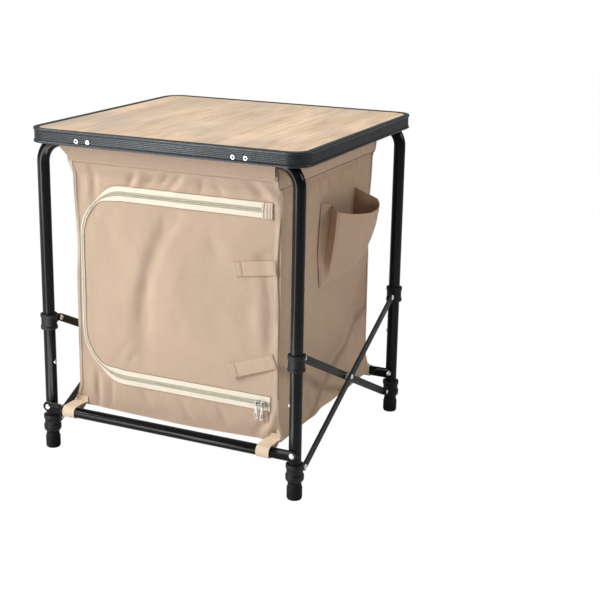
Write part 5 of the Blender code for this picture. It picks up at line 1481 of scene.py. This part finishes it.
def buildWindowBinding():
    # A flat tape round the window, crowned along its middle.
    def ring(grow, depth):
        return [Vector((x, depth, z)) for x, z in windowOutline(grow, windowShape["tapeSteps"])]

    rings = [ring(grow, windowShape["face"] + lift) for grow, lift in windowShape["section"]]
    binding = addOutline(rings[0])
    mesh = binding.data
    for spots in rings[1:]:
        # each ring is extruded from the one before, then moved to its own places
        extrudeBy((0, 0, 0.001))
        bpy.ops.object.mode_set(mode="OBJECT")
        for vertex, spot in zip(mesh.vertices[-len(spots):], spots):
            vertex.co = spot
        bpy.ops.object.mode_set(mode="EDIT")
    endEdit()
    if not mesh.uv_layers:
        mesh.uv_layers.new(name="flat")
    for loop in mesh.loops:
        spot = mesh.vertices[loop.vertex_index].co
        mesh.uv_layers.active.data[loop.index].uv = (spot.x, spot.z)
    thicken(binding, windowShape["cloth"])
    finishPiece(binding, "windowBinding", "darkTape", "rear_frame", ["window_binding"], 50)
    for label, grow in windowShape["rows"]:
        path = ring(grow, windowShape["stitchFace"])
        sew("window" + label + "Stitches", [path + path[:1]], (0, 1, 0), "rear_frame", 0.0028)


buildWindowBinding()
print("rear wall hung")

# Side walls, each with a header band under the tabletop: a second layer with a stitched lower edge
headerShape = {
    "lift": 0.0013, "flare": 0.0020, "width": 0.43, "cells": (90, 12), "gap": 0.0015, "topGap": 0.0005,
    "stitchRise": 0.0037, "stitchGap": 0.0020, "stitchLoose": 0.87, "stitchLift": 0.0008,
}


def buildSideWall(side, hand, creases, seed, flatArea):
    name, header, top = hand + "Wall", cabinet["header"], cabinet["sideTop"]

    def faceAt(y, z):
        return side * (sideX(y, z) + sideRelief(y, z, creases, seed, flatArea) + hemLap(z))

    def place(u, v):
        z = cabinet["bottom"] + (top - cabinet["bottom"]) * v
        y = (wallDepth(z) - cabinet["sideGap"]) * (2 * u - 1)
        return (faceAt(y, z), y, z)

    def headerFace(y, z, loose, lift=0.0):
        # The band stands off the wall where it is loose, towards its lower edge.
        lift += headerShape["lift"] + (headerShape["flare"] + rumple(y, z, (0.0008, seed + 9, 0.02))) * loose
        return faceAt(y, z) + side * lift

    def headerPlace(u, v):
        z = header + (top - headerShape["topGap"] - header) * v
        y = (wallDepth(z) - headerShape["gap"]) * (2 * u - 1)
        z += rumple(y, 0.0, (0.0008, seed + 2, 0.02)) * (1 - v)
        return (headerFace(y, z, 1 - v), y, z)

    # the wall takes the darker side canvas, which is painted shade
    wall = makeCloth(name, cabinet["sideCells"], place, cabinet["sideFlat"], cabinet["cloth"], "sideCanvasPaintedShade",
                     "root", replaced=[hand + "_panel"])
    foldWithFrame(wall)
    flat = (headerShape["width"], top - header)
    # the band's finish is a darker copy of the canvas with a painted shadow line along its lower edge
    layer = makeCloth(name + "Header", headerShape["cells"], headerPlace, flat, cabinet["cloth"],
                      "headerCanvasPaintedShade", "root")
    foldWithFrame(layer)
    z = header + headerShape["stitchRise"]
    path = []
    for t in shares(headerShape["cells"][0]):
        y = (wallDepth(z) - headerShape["stitchGap"]) * (2 * t - 1)
        path.append(Vector((headerFace(y, z, headerShape["stitchLoose"], headerShape["stitchLift"]), y, z)))
    seam = foldWithFrame(sew(name + "HeaderStitches", [path], (side, 0, 0), "root"))
    z = cabinet["bottom"] + cabinet["stitchRise"]
    path = []
    for t in shares(cabinet["stitchSteps"]):
        y = cabinet["stitchHalf"] * (2 * t - 1)
        path.append(Vector((faceAt(y, z) + side * 0.0007, y, z)))
    hem = foldWithFrame(sew(name + "HemStitches", [path], (side, 0, 0), "root"))
    return wall, faceAt


# the cloth lies flat under the pocket and under the utensil band
rightWall, rightFace = buildSideWall(1, "right", rightCreases, 21.0, ((-0.036, 0.318), (0.122, 0.476)))
leftWall, leftFace = buildSideWall(-1, "left", leftCreases, 31.0, ((-0.064, 0.444), (0.064, 0.476)))
print("side walls hung")

# Door flap, zip and tie straps
doorShape = {
    "low": 0.160, "high": 0.482, "bulge": 0.0070, "inmost": -0.2030, "width": 0.388, "cells": (97, 81),
    "spare": 0.0020, "rim": 0.25, "alongZip": 0.018, "nearHinge": 0.006, "hingeEdge": 0.002, "hingeHold": 0.3,
    "creases": 0.8, "waves": (1.6, 0.9), "folds": ((0.0024, 41.0, 0.10), (0.0009, 47.0, 0.030)),
    "gathers": (0.0008, 53.0),
}


def doorFace(x, z):
    # The flap stands a little proud in its middle and lies flat along the zip.
    middle, nearest = curveCentre(z)
    radius = zipShape["corner"] - 0.003
    left = middle - math.sqrt(max(radius * radius - (z - nearest) ** 2, 0.0))
    across = clamp((x - left) / (zipShape["hinge"] - left))
    up = clamp((z - doorShape["low"]) / (doorShape["high"] - doorShape["low"]))
    rim = easeStep(min(across, 1 - across) / doorShape["rim"]) * easeStep(min(up, 1 - up) / doorShape["rim"])
    waveX, waveZ = doorShape["waves"]
    fold = 0.75 + 0.25 * math.sin(2 * math.pi * (waveX * across + waveZ * up))
    free = easeStep((zipGap(x, z) - tapeReach(x, z) * 0.8) / doorShape["alongZip"])
    lift = doorShape["creases"] * creaseLift(x, z, doorCreases) + rumple(x, z, *doorShape["folds"])
    lift += zipGathers(x, z, *doorShape["gathers"])
    hinge = easeStep((zipShape["hinge"] + doorShape["hingeEdge"] - x) / doorShape["nearHinge"])
    hold = doorShape["hingeHold"]
    lift = lift * free * (hold + (1 - hold) * hinge) + frontRelief(x, z) * (1 - free)
    return min(-cabinet["halfDepth"] - doorShape["bulge"] * rim * fold - lift, doorShape["inmost"])


def buildDoor():
    low, high, hinge, spare = doorShape["low"], doorShape["high"], zipShape["hinge"], doorShape["spare"]
    flat = (doorShape["width"], high - low + 2 * spare)

    def place(u, v):
        x, z = hinge - flat[0] * (1 - u), low - spare + flat[1] * v
        return (x, doorFace(x, z), z)

    outline = lapLine(-1) + [(hinge, low), (hinge, high)]
    flap = makeCloth("doorFlap", doorShape["cells"], place, flat, cabinet["cloth"], "canvas", "door",
                     replaced=["door_flap"], cut=(outline, doorFace, True))


def tapeDepth(x, z):
    return -(zipShape["face"] + frontRelief(x, z))


def buildZipGuard():
    # A narrow tape behind the teeth, so that no light shows between the two sides.
    def place(u, v):
        x, z = besideZip(pickAt(zipLine, u), zipShape["guard"] * (2 * v - 1))
        return (x, tapeDepth(x, z) + zipShape["guardBack"], z)

    flat = (zipShape["flat"][0], 2 * zipShape["guard"])
    return makeCloth("zipGuard", (len(zipLine) - 1, 4), place, flat, zipShape["guardCloth"], "lining", "root")


def buildTape(way, label, body):
    # One side of the zip's tape, with a rolled inner edge, two rows of stitches and its coil.
    name, inner, bands, pitch = label + "Tape", zipShape["inner"], zipShape["bands"], zipShape["coilPitch"]

    def place(u, v):
        spot, share = pickAt(zipLine, u), pickAt(bands, v)
        x, z = besideZip(spot, way * (inner + (spot[4] - inner) * share))
        return (x, tapeDepth(x, z) - zipShape["laid"] - zipShape["crown"] * math.sin(math.pi * share), z)

    def stitchRow(spots, share, inset):
        path = []
        for spot in spots:
            x, z = besideZip(spot, way * (spot[4] * share - inset))
            path.append(Vector((x, tapeDepth(x, z) - zipShape["stitchFace"], z)))
        return path

    # the tape's finish carries painted shadow lines along the coil and the outer edge
    tape = makeCloth(name, (len(zipLine) - 1, len(bands) - 1), place, zipShape["flat"], zipShape["tape"],
                     "tape", body, ["door_zip_" + label])
    # the second row runs only where the tape is wide, above and below the curve
    wide = [spot for spot in zipLine if spot[4] >= zipShape["wide"]]
    runs = [[spot for spot in wide if spot[3] * up > 0] for up in (1, -1)]
    for row, paths in (("Edge", [stitchRow(zipLine, 1.0, zipShape["edgeRow"])]),
                       ("Middle", [stitchRow(run, zipShape["middleRow"], 0.0) for run in runs])):
        sew(name + row + "Stitches", paths, (0, -1, 0), body, 0.0026, 0.0005, 0.0036,
                         "creamThread")
    path = []
    for spot in zipLine:
        x, z = besideZip(spot, way * zipShape["coilOut"])
        path.append(Vector((x, tapeDepth(*spot[:2]) - zipShape["coilFace"], z)))
    marks = stitchMarks(path, (0, -1, 0), pitch)
    if way > 0:
        buildZipGuard()
        # this side's teeth lie between the other's
        marks = [(spot + run.normalized() * pitch / 2, run, out) for spot, run, out in marks]
    beadRow(name + "Coil", marks, (0.00125, 0.0024, 0.0018), "coil", body)


tapeEndShape = {
    "x": 0.1690, "length": 0.0275, "width": 0.0195, "cloth": 0.0008, "stitchX": 0.1725, "stitchRun": 0.0235,
}


def buildTapeEnd():
    # The upper end of the tape is turned under beside the hinge.
    top, length, width = zipShape["top"], tapeEndShape["length"], tapeEndShape["width"]

    def place(along, across):
        x, z = tapeEndShape["x"] + width * across, top + length * (along - 0.5)
        rise = 0.0009 + 0.0006 * math.sin(math.pi * clamp(across * 1.15)) + 0.0004 * math.sin(math.pi * along)
        lap = 0.0009 * (1 - easeStep((abs(z - top) - 0.003) / 0.004))
        return (x, tapeDepth(x, z) - 0.0008 - rise - lap * (1 - across), z)

    block = makeCloth("upperTapeEnd", (12, 12), place, (length, width), tapeEndShape["cloth"], "tapeEnd",
                      "root")
    path = []
    for t in shares(10):
        z = top + tapeEndShape["stitchRun"] * (t - 0.5)
        path.append(Vector((tapeEndShape["stitchX"], place(t, 0.18)[1] - 0.0006, z)))
    seam = sew("upperTapeEndStitches", [path], (0, -1, 0), "root", 0.0022, 0.0005, 0.0030, "creamThread")


def stitchPath(corners, surface, lift):
    # A straight-sided line of stitches laid on a surface given in x and z.
    spots = []
    for (x0, z0), (x1, z1) in zip(corners, corners[1:]):
        spots += [(x0 + (x1 - x0) * t, z0 + (z1 - z0) * t) for t in shares(14)[:-1]]
    return [Vector((x, surface(x, z) - lift, z)) for x, z in spots + [corners[-1]]]


strapShape = {
    "width": 0.025, "cloth": 0.0014, "gap": 0.0003, "crown": 0.0002, "hem": 0.013, "hemStart": 0.0006,
    "hemCloth": 0.0008, "hemLift": 0.0009, "hemSpread": 0.985, "cells": (34, 6), "hemCells": (5, 6),
    # two rows of stitches across the turned end, and the corners of the box as (inset, side)
    "rows": (0.0105, 0.0035), "rowHalf": 0.86, "rowLift": 0.0018, "boxLift": 0.0009,
    "box": ((0.019, -0.8), (0.019, 0.8), (0.003, 0.8), (0.003, -0.8), (0.019, -0.8), (0.003, 0.8)),
}


def buildStrap(level, freeEnd, sewnEnd):
    name, width = level + "Strap", strapShape["width"]
    start = Vector(freeEnd)
    run = Vector(sewnEnd) - start
    along = run.normalized()
    across = Vector((-run.y, run.x)).normalized() * (width / 2)
    proud = cabinet["cloth"] / 2 + strapShape["gap"] + strapShape["cloth"] / 2

    def face(x, z):
        # The webbing is stiff across its width, so it rides on the highest part of the flap.
        middle = start + run * ((Vector((x, z)) - start).dot(run) / run.length_squared)
        spots = [middle + across * side for side in (-1, -0.5, 0, 0.5, 1)]
        return min(doorFace(spot.x, spot.y) for spot in spots) - proud

    def layer(first, length, spread, lift):
        def place(u, v):
            side = 2 * v - 1
            spot = start + along * (first + length * u) + across * side * spread
            return (spot.x, face(spot.x, spot.y) - lift - strapShape["crown"] * (1 - side * side), spot.y)
        return place

    def corner(distance, side):
        spot = start + along * distance + across * side
        return (spot.x, spot.y)

    strap = makeCloth(name, strapShape["cells"], layer(0.0, run.length, 1.0, 0.0), (run.length, width),
                      strapShape["cloth"], "strapCloth", "door", replaced=["door_strap_" + level], angle=40)
    hemFlat = (strapShape["hem"], width)
    hemPlace = layer(strapShape["hemStart"], strapShape["hem"], strapShape["hemSpread"],
                     strapShape["hemLift"])
    hem = makeCloth(name + "Hem", strapShape["hemCells"], hemPlace, hemFlat, strapShape["hemCloth"],
                    "strapCloth", "door", angle=40)
    # the box has a stroke across it, where the strap is sewn down
    half = strapShape["rowHalf"]
    paths = [stitchPath([corner(row, -half), corner(row, half)], face, strapShape["rowLift"])
             for row in strapShape["rows"]]
    box = [corner(run.length - inset, side) for inset, side in strapShape["box"]]
    paths.append(stitchPath(box, face, strapShape["boxLift"]))
    seam = sew(name + "Stitches", paths, (0, -1, 0), "door", 0.0024, pitch=0.0032)


facingShape = {"inset": 0.0050, "width": 0.0104, "cloth": 0.0007, "short": 0.002, "behind": 0.0012}


def buildHingeFacing():
    # A strip sewn inside, over the seam between the flap and the wall.
    low, hinge = doorShape["low"] + facingShape["short"], zipShape["hinge"]
    flat = (facingShape["width"], doorShape["high"] - doorShape["low"] - 2 * facingShape["short"])

    def place(u, v):
        x, z = hinge - facingShape["inset"] + flat[0] * u, low + flat[1] * v
        return (x, max(frontDepth(x, z), doorFace(min(x, hinge), z)) + facingShape["behind"], z)

    facing = makeCloth("hingeFacing", (6, 80), place, flat, facingShape["cloth"], "lining", "root")


buildDoor()
buildHingeFacing()
buildTape(1, "outer", "root")
buildTape(-1, "inner", "door")
buildTapeEnd()
buildStrap("upper", (0.120, 0.3845), (0.1955, 0.3945))
buildStrap("lower", (0.112, 0.2020), (0.1955, 0.2310))
print("door sewn")

# Corner bindings
bindingShape = {
    "cloth": 0.0009, "flat": 0.013, "rows": 110, "face": 0.0012, "side": 0.0010, "stitchIn": 0.0042,
    "stitchFace": 0.0018,
    # across the tape: inwards of the wall's edge where below 0, then how far back along the side
    "profile": ((-0.0052, 0.0), (-0.0034, 0.0), (-0.0016, 0.0), (-0.0002, 0.0002), (0.0006, 0.0010),
                (0.0009, 0.0024), (0.0009, 0.0040), (0.0008, 0.0058)),
}


def buildCornerBinding(name, side, sideFace, way, body, wall, depthAt):
    # A folded tape sewn round each upright corner.
    low, high = cabinet["bottom"] + 0.001, cabinet["seam"] - 0.002
    profile, rows = bindingShape["profile"], bindingShape["rows"]
    flat = (bindingShape["flat"], high - low)

    def place(u, v):
        shiftX, shiftY = pickAt(profile, u)
        z = low + (high - low) * v
        edge = wallHalfWidth(z)
        if shiftX < 0:
            x = side * (edge + shiftX)
            return (x, depthAt(x, z) + way * (bindingShape["face"] - shiftY), z)
        y = way * (wallDepth(z) - shiftY)
        x = max(abs(sideFace(y, z)) + 0.0007, edge + 0.0002) + shiftX * 0.5
        return (side * x, y + way * bindingShape["side"], z)

    tape = makeCloth(name, (len(profile) - 1, rows), place, flat, bindingShape["cloth"], "creamCanvas", body,
                     angle=70)
    path = []
    for t in shares(rows):
        z = low + (high - low) * t
        x = side * (wallHalfWidth(z) - bindingShape["stitchIn"])
        path.append(Vector((x, depthAt(x, z) + way * bindingShape["stitchFace"], z)))
    seam = sew(name + "Stitches", [path], (0, way, 0), body, 0.0028, 0.0005)


for hand, side, sideFace in (("Right", 1, rightFace), ("Left", -1, leftFace)):
    for (way, end, body), wall, depthAt in zip(ends, (frontWall, rearWall), (frontDepth, rearDepth)):
        buildCornerBinding(end + hand + "Binding", side, sideFace, way, body, wall, depthAt)
print("corners bound")

# Webbing loops round the crossbars
loopShape = {
    "x": 0.196, "width": 0.025, "cloth": 0.0012, "bore": 0.0098, "gap": 0.0001, "apex": (0.2058, 0.0925),
    "wrapSteps": 36, "stitchHalf": 0.0105, "stitchFace": 0.0008, "rows": (0.0965, 0.0990),
    # points from the apex: the end sewn to the wall, and the lower end
    "sewn": ((0.0, 0.0085), (0.0002, 0.0035), (0.0004, 0.0006)), "end": (0.0014, -0.0008),
}


def buildLoop(way, end, body, side, hand):
    name, middle = end + "Loop" + hand.capitalize(), loopShape["x"] * side
    bar = Vector((frameShape["legY"] - way * crossbarShape["offset"], crossbarShape["height"]))
    apex = Vector(loopShape["apex"])
    radius = loopShape["bore"] + loopShape["cloth"] / 2 + loopShape["gap"]
    wrap = wrapRound(bar, apex, radius, loopShape["wrapSteps"])
    upper = [apex + Vector(step) for step in loopShape["sewn"]]
    upper += [apex + (wrap[0] - apex) * t for t in (0.3, 0.6, 0.85)]
    lower = [wrap[-1] + (apex - wrap[-1]) * t for t in (0.2, 0.5, 0.8)]
    outline = upper + wrap + lower + [apex + Vector(loopShape["end"])]
    flat = (loopShape["width"], lengthOf(outline))

    def place(u, v):
        spot = pickAt(outline, v)
        half = loopShape["width"] / 2 * (1.0 - 0.03 * math.sin(math.pi * v))
        away = (spot - bar).normalized() * (0.0002 * math.cos(math.pi * (u - 0.5)))
        return (middle + half * (2 * u - 1), way * (spot.x + away.x), spot.y + away.y)

    loop = makeCloth(name, (8, len(outline) - 1), place, flat, loopShape["cloth"], "webbing", body,
                     [end + "_bar_loop_" + hand])
    y = way * (apex.x + loopShape["stitchFace"])
    across = [middle + loopShape["stitchHalf"] * (2 * t - 1) for t in shares(12)]
    paths = [[Vector((x, y, z)) for x in across] for z in loopShape["rows"]]
    seam = sew(name + "Stitches", paths, (0, way, 0), body, 0.0023, pitch=0.0030, thread="creamThread")


for side, hand in hands:
    for way, end, body in ends:
        buildLoop(way, end, body, side, hand)
print("loops sewn")

# Bellows pocket on the right wall: rim points are (place along the wall, stand-out, height)
pocket = {
    "ring": ((-0.036, 0.0, 0.473), (-0.025, 0.005, 0.470), (-0.011, 0.0105, 0.466), (-0.020, 0.020, 0.462),
             (-0.031, 0.029, 0.459), (-0.027, 0.0325, 0.4575), (-0.010, 0.036, 0.453),
             (0.020, 0.041, 0.4465), (0.050, 0.045, 0.4410), (0.085, 0.048, 0.4365),
             (0.112, 0.0495, 0.4365), (0.1215, 0.0500, 0.4395), (0.1265, 0.0490, 0.4470),
             (0.1290, 0.0440, 0.4540), (0.1265, 0.032, 0.4600), (0.1215, 0.018, 0.4660),
             (0.1190, 0.008, 0.4710), (0.120, 0.0, 0.4740)),
    "bottom": 0.318, "front": -0.036, "rear": 0.120, "cloth": 0.0010, "sewn": 0.0020, "foot": 0.0024,
    "keep": 0.07, "flat": (0.28, 0.158), "area": 0.0320, "rimFlat": (0.27, 0.011), "rimLaid": (0.27, 0.010),
    "rimCloth": 0.0007, "cells": (102, 44), "rimCells": (102, 4), "rimLift": 0.0009, "rimLow": 0.925,
    "rimHigh": 0.995,
    # rows of stitches, two round the rim and one along the foot: (height, first place, run, steps, lift)
    "rows": ((0.935, 0.02, 0.96, 102, 0.0014), (0.985, 0.02, 0.96, 102, 0.0014),
             (0.02, 0.13, 0.60, 40, 0.0006)),
}


def pocketSpot(u, v):
    ring = pocket["ring"]
    spot = u * (len(ring) - 1)
    i = min(int(spot), len(ring) - 2)
    yTop, stand, top = (start + (end - start) * (spot - i) for start, end in zip(ring[i], ring[i + 1]))
    seam = 1.0 - 2.0 * abs(u - 0.5)
    yFoot = pocket["front"] + (pocket["rear"] - pocket["front"]) * clamp((u - 0.12) / 0.62)
    y = yFoot + (yTop - yFoot) * v ** 0.45
    z = pocket["bottom"] + (top - pocket["bottom"]) * v
    out = pocket["foot"] * min(seam * 6, 1.0) * (1 - v) + stand * (1 - (1 - v) ** 2.3)
    # soft dents in the face, away from the pleats
    face = easeStep((u - 0.30) / 0.12) * easeStep((0.72 - u) / 0.10)
    swell = math.sin(math.pi * v)
    out += face * rumple(y, z, (0.0022, 61.0, 0.05)) * swell
    out -= face * 0.0035 * math.exp(-((y - 0.075 + (z - 0.40) * 0.5) / 0.016) ** 2) * swell ** 2
    return Vector((sideX(y, z) + pocket["sewn"] + out, y, z))


def buildPocket():
    # the pocket and its rim take the darker side canvas, which is painted shade
    bag = makeCloth("sidePocket", pocket["cells"], pocketSpot, pocket["flat"], pocket["cloth"], "sideCanvasPaintedShade",
                    "root", replaced=["side_pocket"])
    foldWithFrame(bag)

    # rim hem: a second layer that follows the top edge inside and out
    def rimPlace(u, v):
        height = pocket["rimLow"] + (pocket["rimHigh"] - pocket["rimLow"]) * v
        return pocketSpot(0.012 + 0.976 * u, height) + Vector((pocket["rimLift"], 0, 0))

    rim = makeCloth("pocketRim", pocket["rimCells"], rimPlace, pocket["rimLaid"], pocket["rimCloth"],
                    "sideCanvasPaintedShade", "root")
    foldWithFrame(rim)
    paths = []
    for v, first, run, steps, lift in pocket["rows"]:
        paths.append([pocketSpot(first + run * t, v) + Vector((lift, 0, 0)) for t in shares(steps)])
    seam = sew("pocketStitches", paths, (1, 0, 0), "root", 0.0028, pitch=0.0040)
    foldWithFrame(seam)


buildPocket()
print("pocket sewn")

# Utensil loops on the left wall
band = {
    "half": 0.062, "middle": 0.460, "width": 0.025, "loops": 3, "stand": 0.013, "sewn": 0.0024,
    "cloth": 0.0014, "length": 0.153, "cells": (72, 5), "stitchHalf": 0.0105, "stitchLift": 0.0020,
}


def buildUtensilBand():
    def place(u, v):
        y = band["half"] * (2 * u - 1)
        z = band["middle"] + band["width"] * (v - 0.5)
        out = band["stand"] * abs(math.sin(math.pi * band["loops"] * u)) ** 0.75
        out += 0.0002 * math.sin(math.pi * v)
        return (-sideX(y, z) - band["sewn"] - out, y, z)

    flat = (band["length"], band["width"])
    strip = makeCloth("utensilBand", band["cells"], place, flat, band["cloth"], "strapCloth", "root",
                      replaced=["utensil_band"])
    foldWithFrame(strip)
    paths = []
    for u in shares(band["loops"]):
        y = band["half"] * (2 * u - 1) * (1 - 0.035 * abs(2 * u - 1))
        x = -sideX(y, band["middle"]) - band["sewn"] - band["stitchLift"]
        paths.append([Vector((x, y, band["middle"] + band["stitchHalf"] * (2 * t - 1))) for t in shares(10)])
    seam = foldWithFrame(sew("utensilStitches", paths, (-1, 0, 0), "root", 0.0023, pitch=0.0030))


buildUtensilBand()

# Floor, sling and shelves
inside = {
    "floorTop": 0.0945, "slingTop": 0.3177, "halfDepth": 0.2036, "halfWidth": 0.1963, "cells": (60, 60),
    "floorFlat": (0.405, 0.407), "slingFlat": (0.393, 0.407), "slingAnchor": -0.197, "slingKeep": 0.035,
    "shelfHalf": 0.1949, "shelfRear": 0.199, "shelfCorner": 0.006, "shelf": 0.005,
}


def buildFloor():
    def place(u, v):
        y = inside["halfDepth"] * (2 * v - 1)
        z = inside["floorTop"] - cabinet["cloth"] / 2
        x = (sideX(y, z) - cabinet["sideGap"]) * (2 * u - 1)
        near = max(abs(2 * u - 1), abs(2 * v - 1))
        return (x, y, z + rumple(x, y, (0.0002, 71.0, 0.05)) * easeStep((1 - near) / 0.1) - 0.0002)

    floor = makeCloth("cabinetFloor", inside["cells"], place, inside["floorFlat"], cabinet["cloth"], "lining",
                      "root", replaced=["floor_panel"])
    foldWithFrame(floor)


def buildSling():
    def place(u, v):
        x, y = inside["halfWidth"] * (2 * u - 1), inside["halfDepth"] * (2 * v - 1)
        return (x, y, inside["slingTop"] - 0.0010 + rumple(x, y, (0.0002, 77.0, 0.06)))

    sling = makeCloth("shelfSling", inside["cells"], place, inside["slingFlat"], cabinet["cloth"], "lining",
                      "shelf_sling", replaced=["shelf_sling"])
    foldWithFrame(sling)


def buildShelf(level, place, frontY, top):
    # A thin laminated board with a softened rim.
    outline = roundedBox(inside["shelfHalf"], frontY, inside["shelfRear"], inside["shelfCorner"], 6)
    board = addOutline([Vector((x, y, top - inside["shelf"])) for x, y in outline])
    bpy.ops.mesh.edge_face_add()
    extrudeBy((0, 0, inside["shelf"]))
    closeShell(fill=False)
    bevelEdges(board, 0.0012, 3, 40)
    finishPiece(board, level + "Shelf", "board", place + "_shelf", [place + "_shelf_board"])


buildFloor()
buildSling()
buildShelf("lower", "bottom", -0.192, 0.0998)
buildShelf("upper", "middle", -0.199, 0.323)
print("inside fitted")

# Sliders and pulls
for side, hand in hands:
    for label, width in (("slider", 0.0004), ("pull", 0.0003)):
        node = "zip_" + label + "_" + hand
        finishPiece(copyNode(node, width, 30), label + hand.capitalize(), "zipMetal", node, [node])
print("sliders fitted")
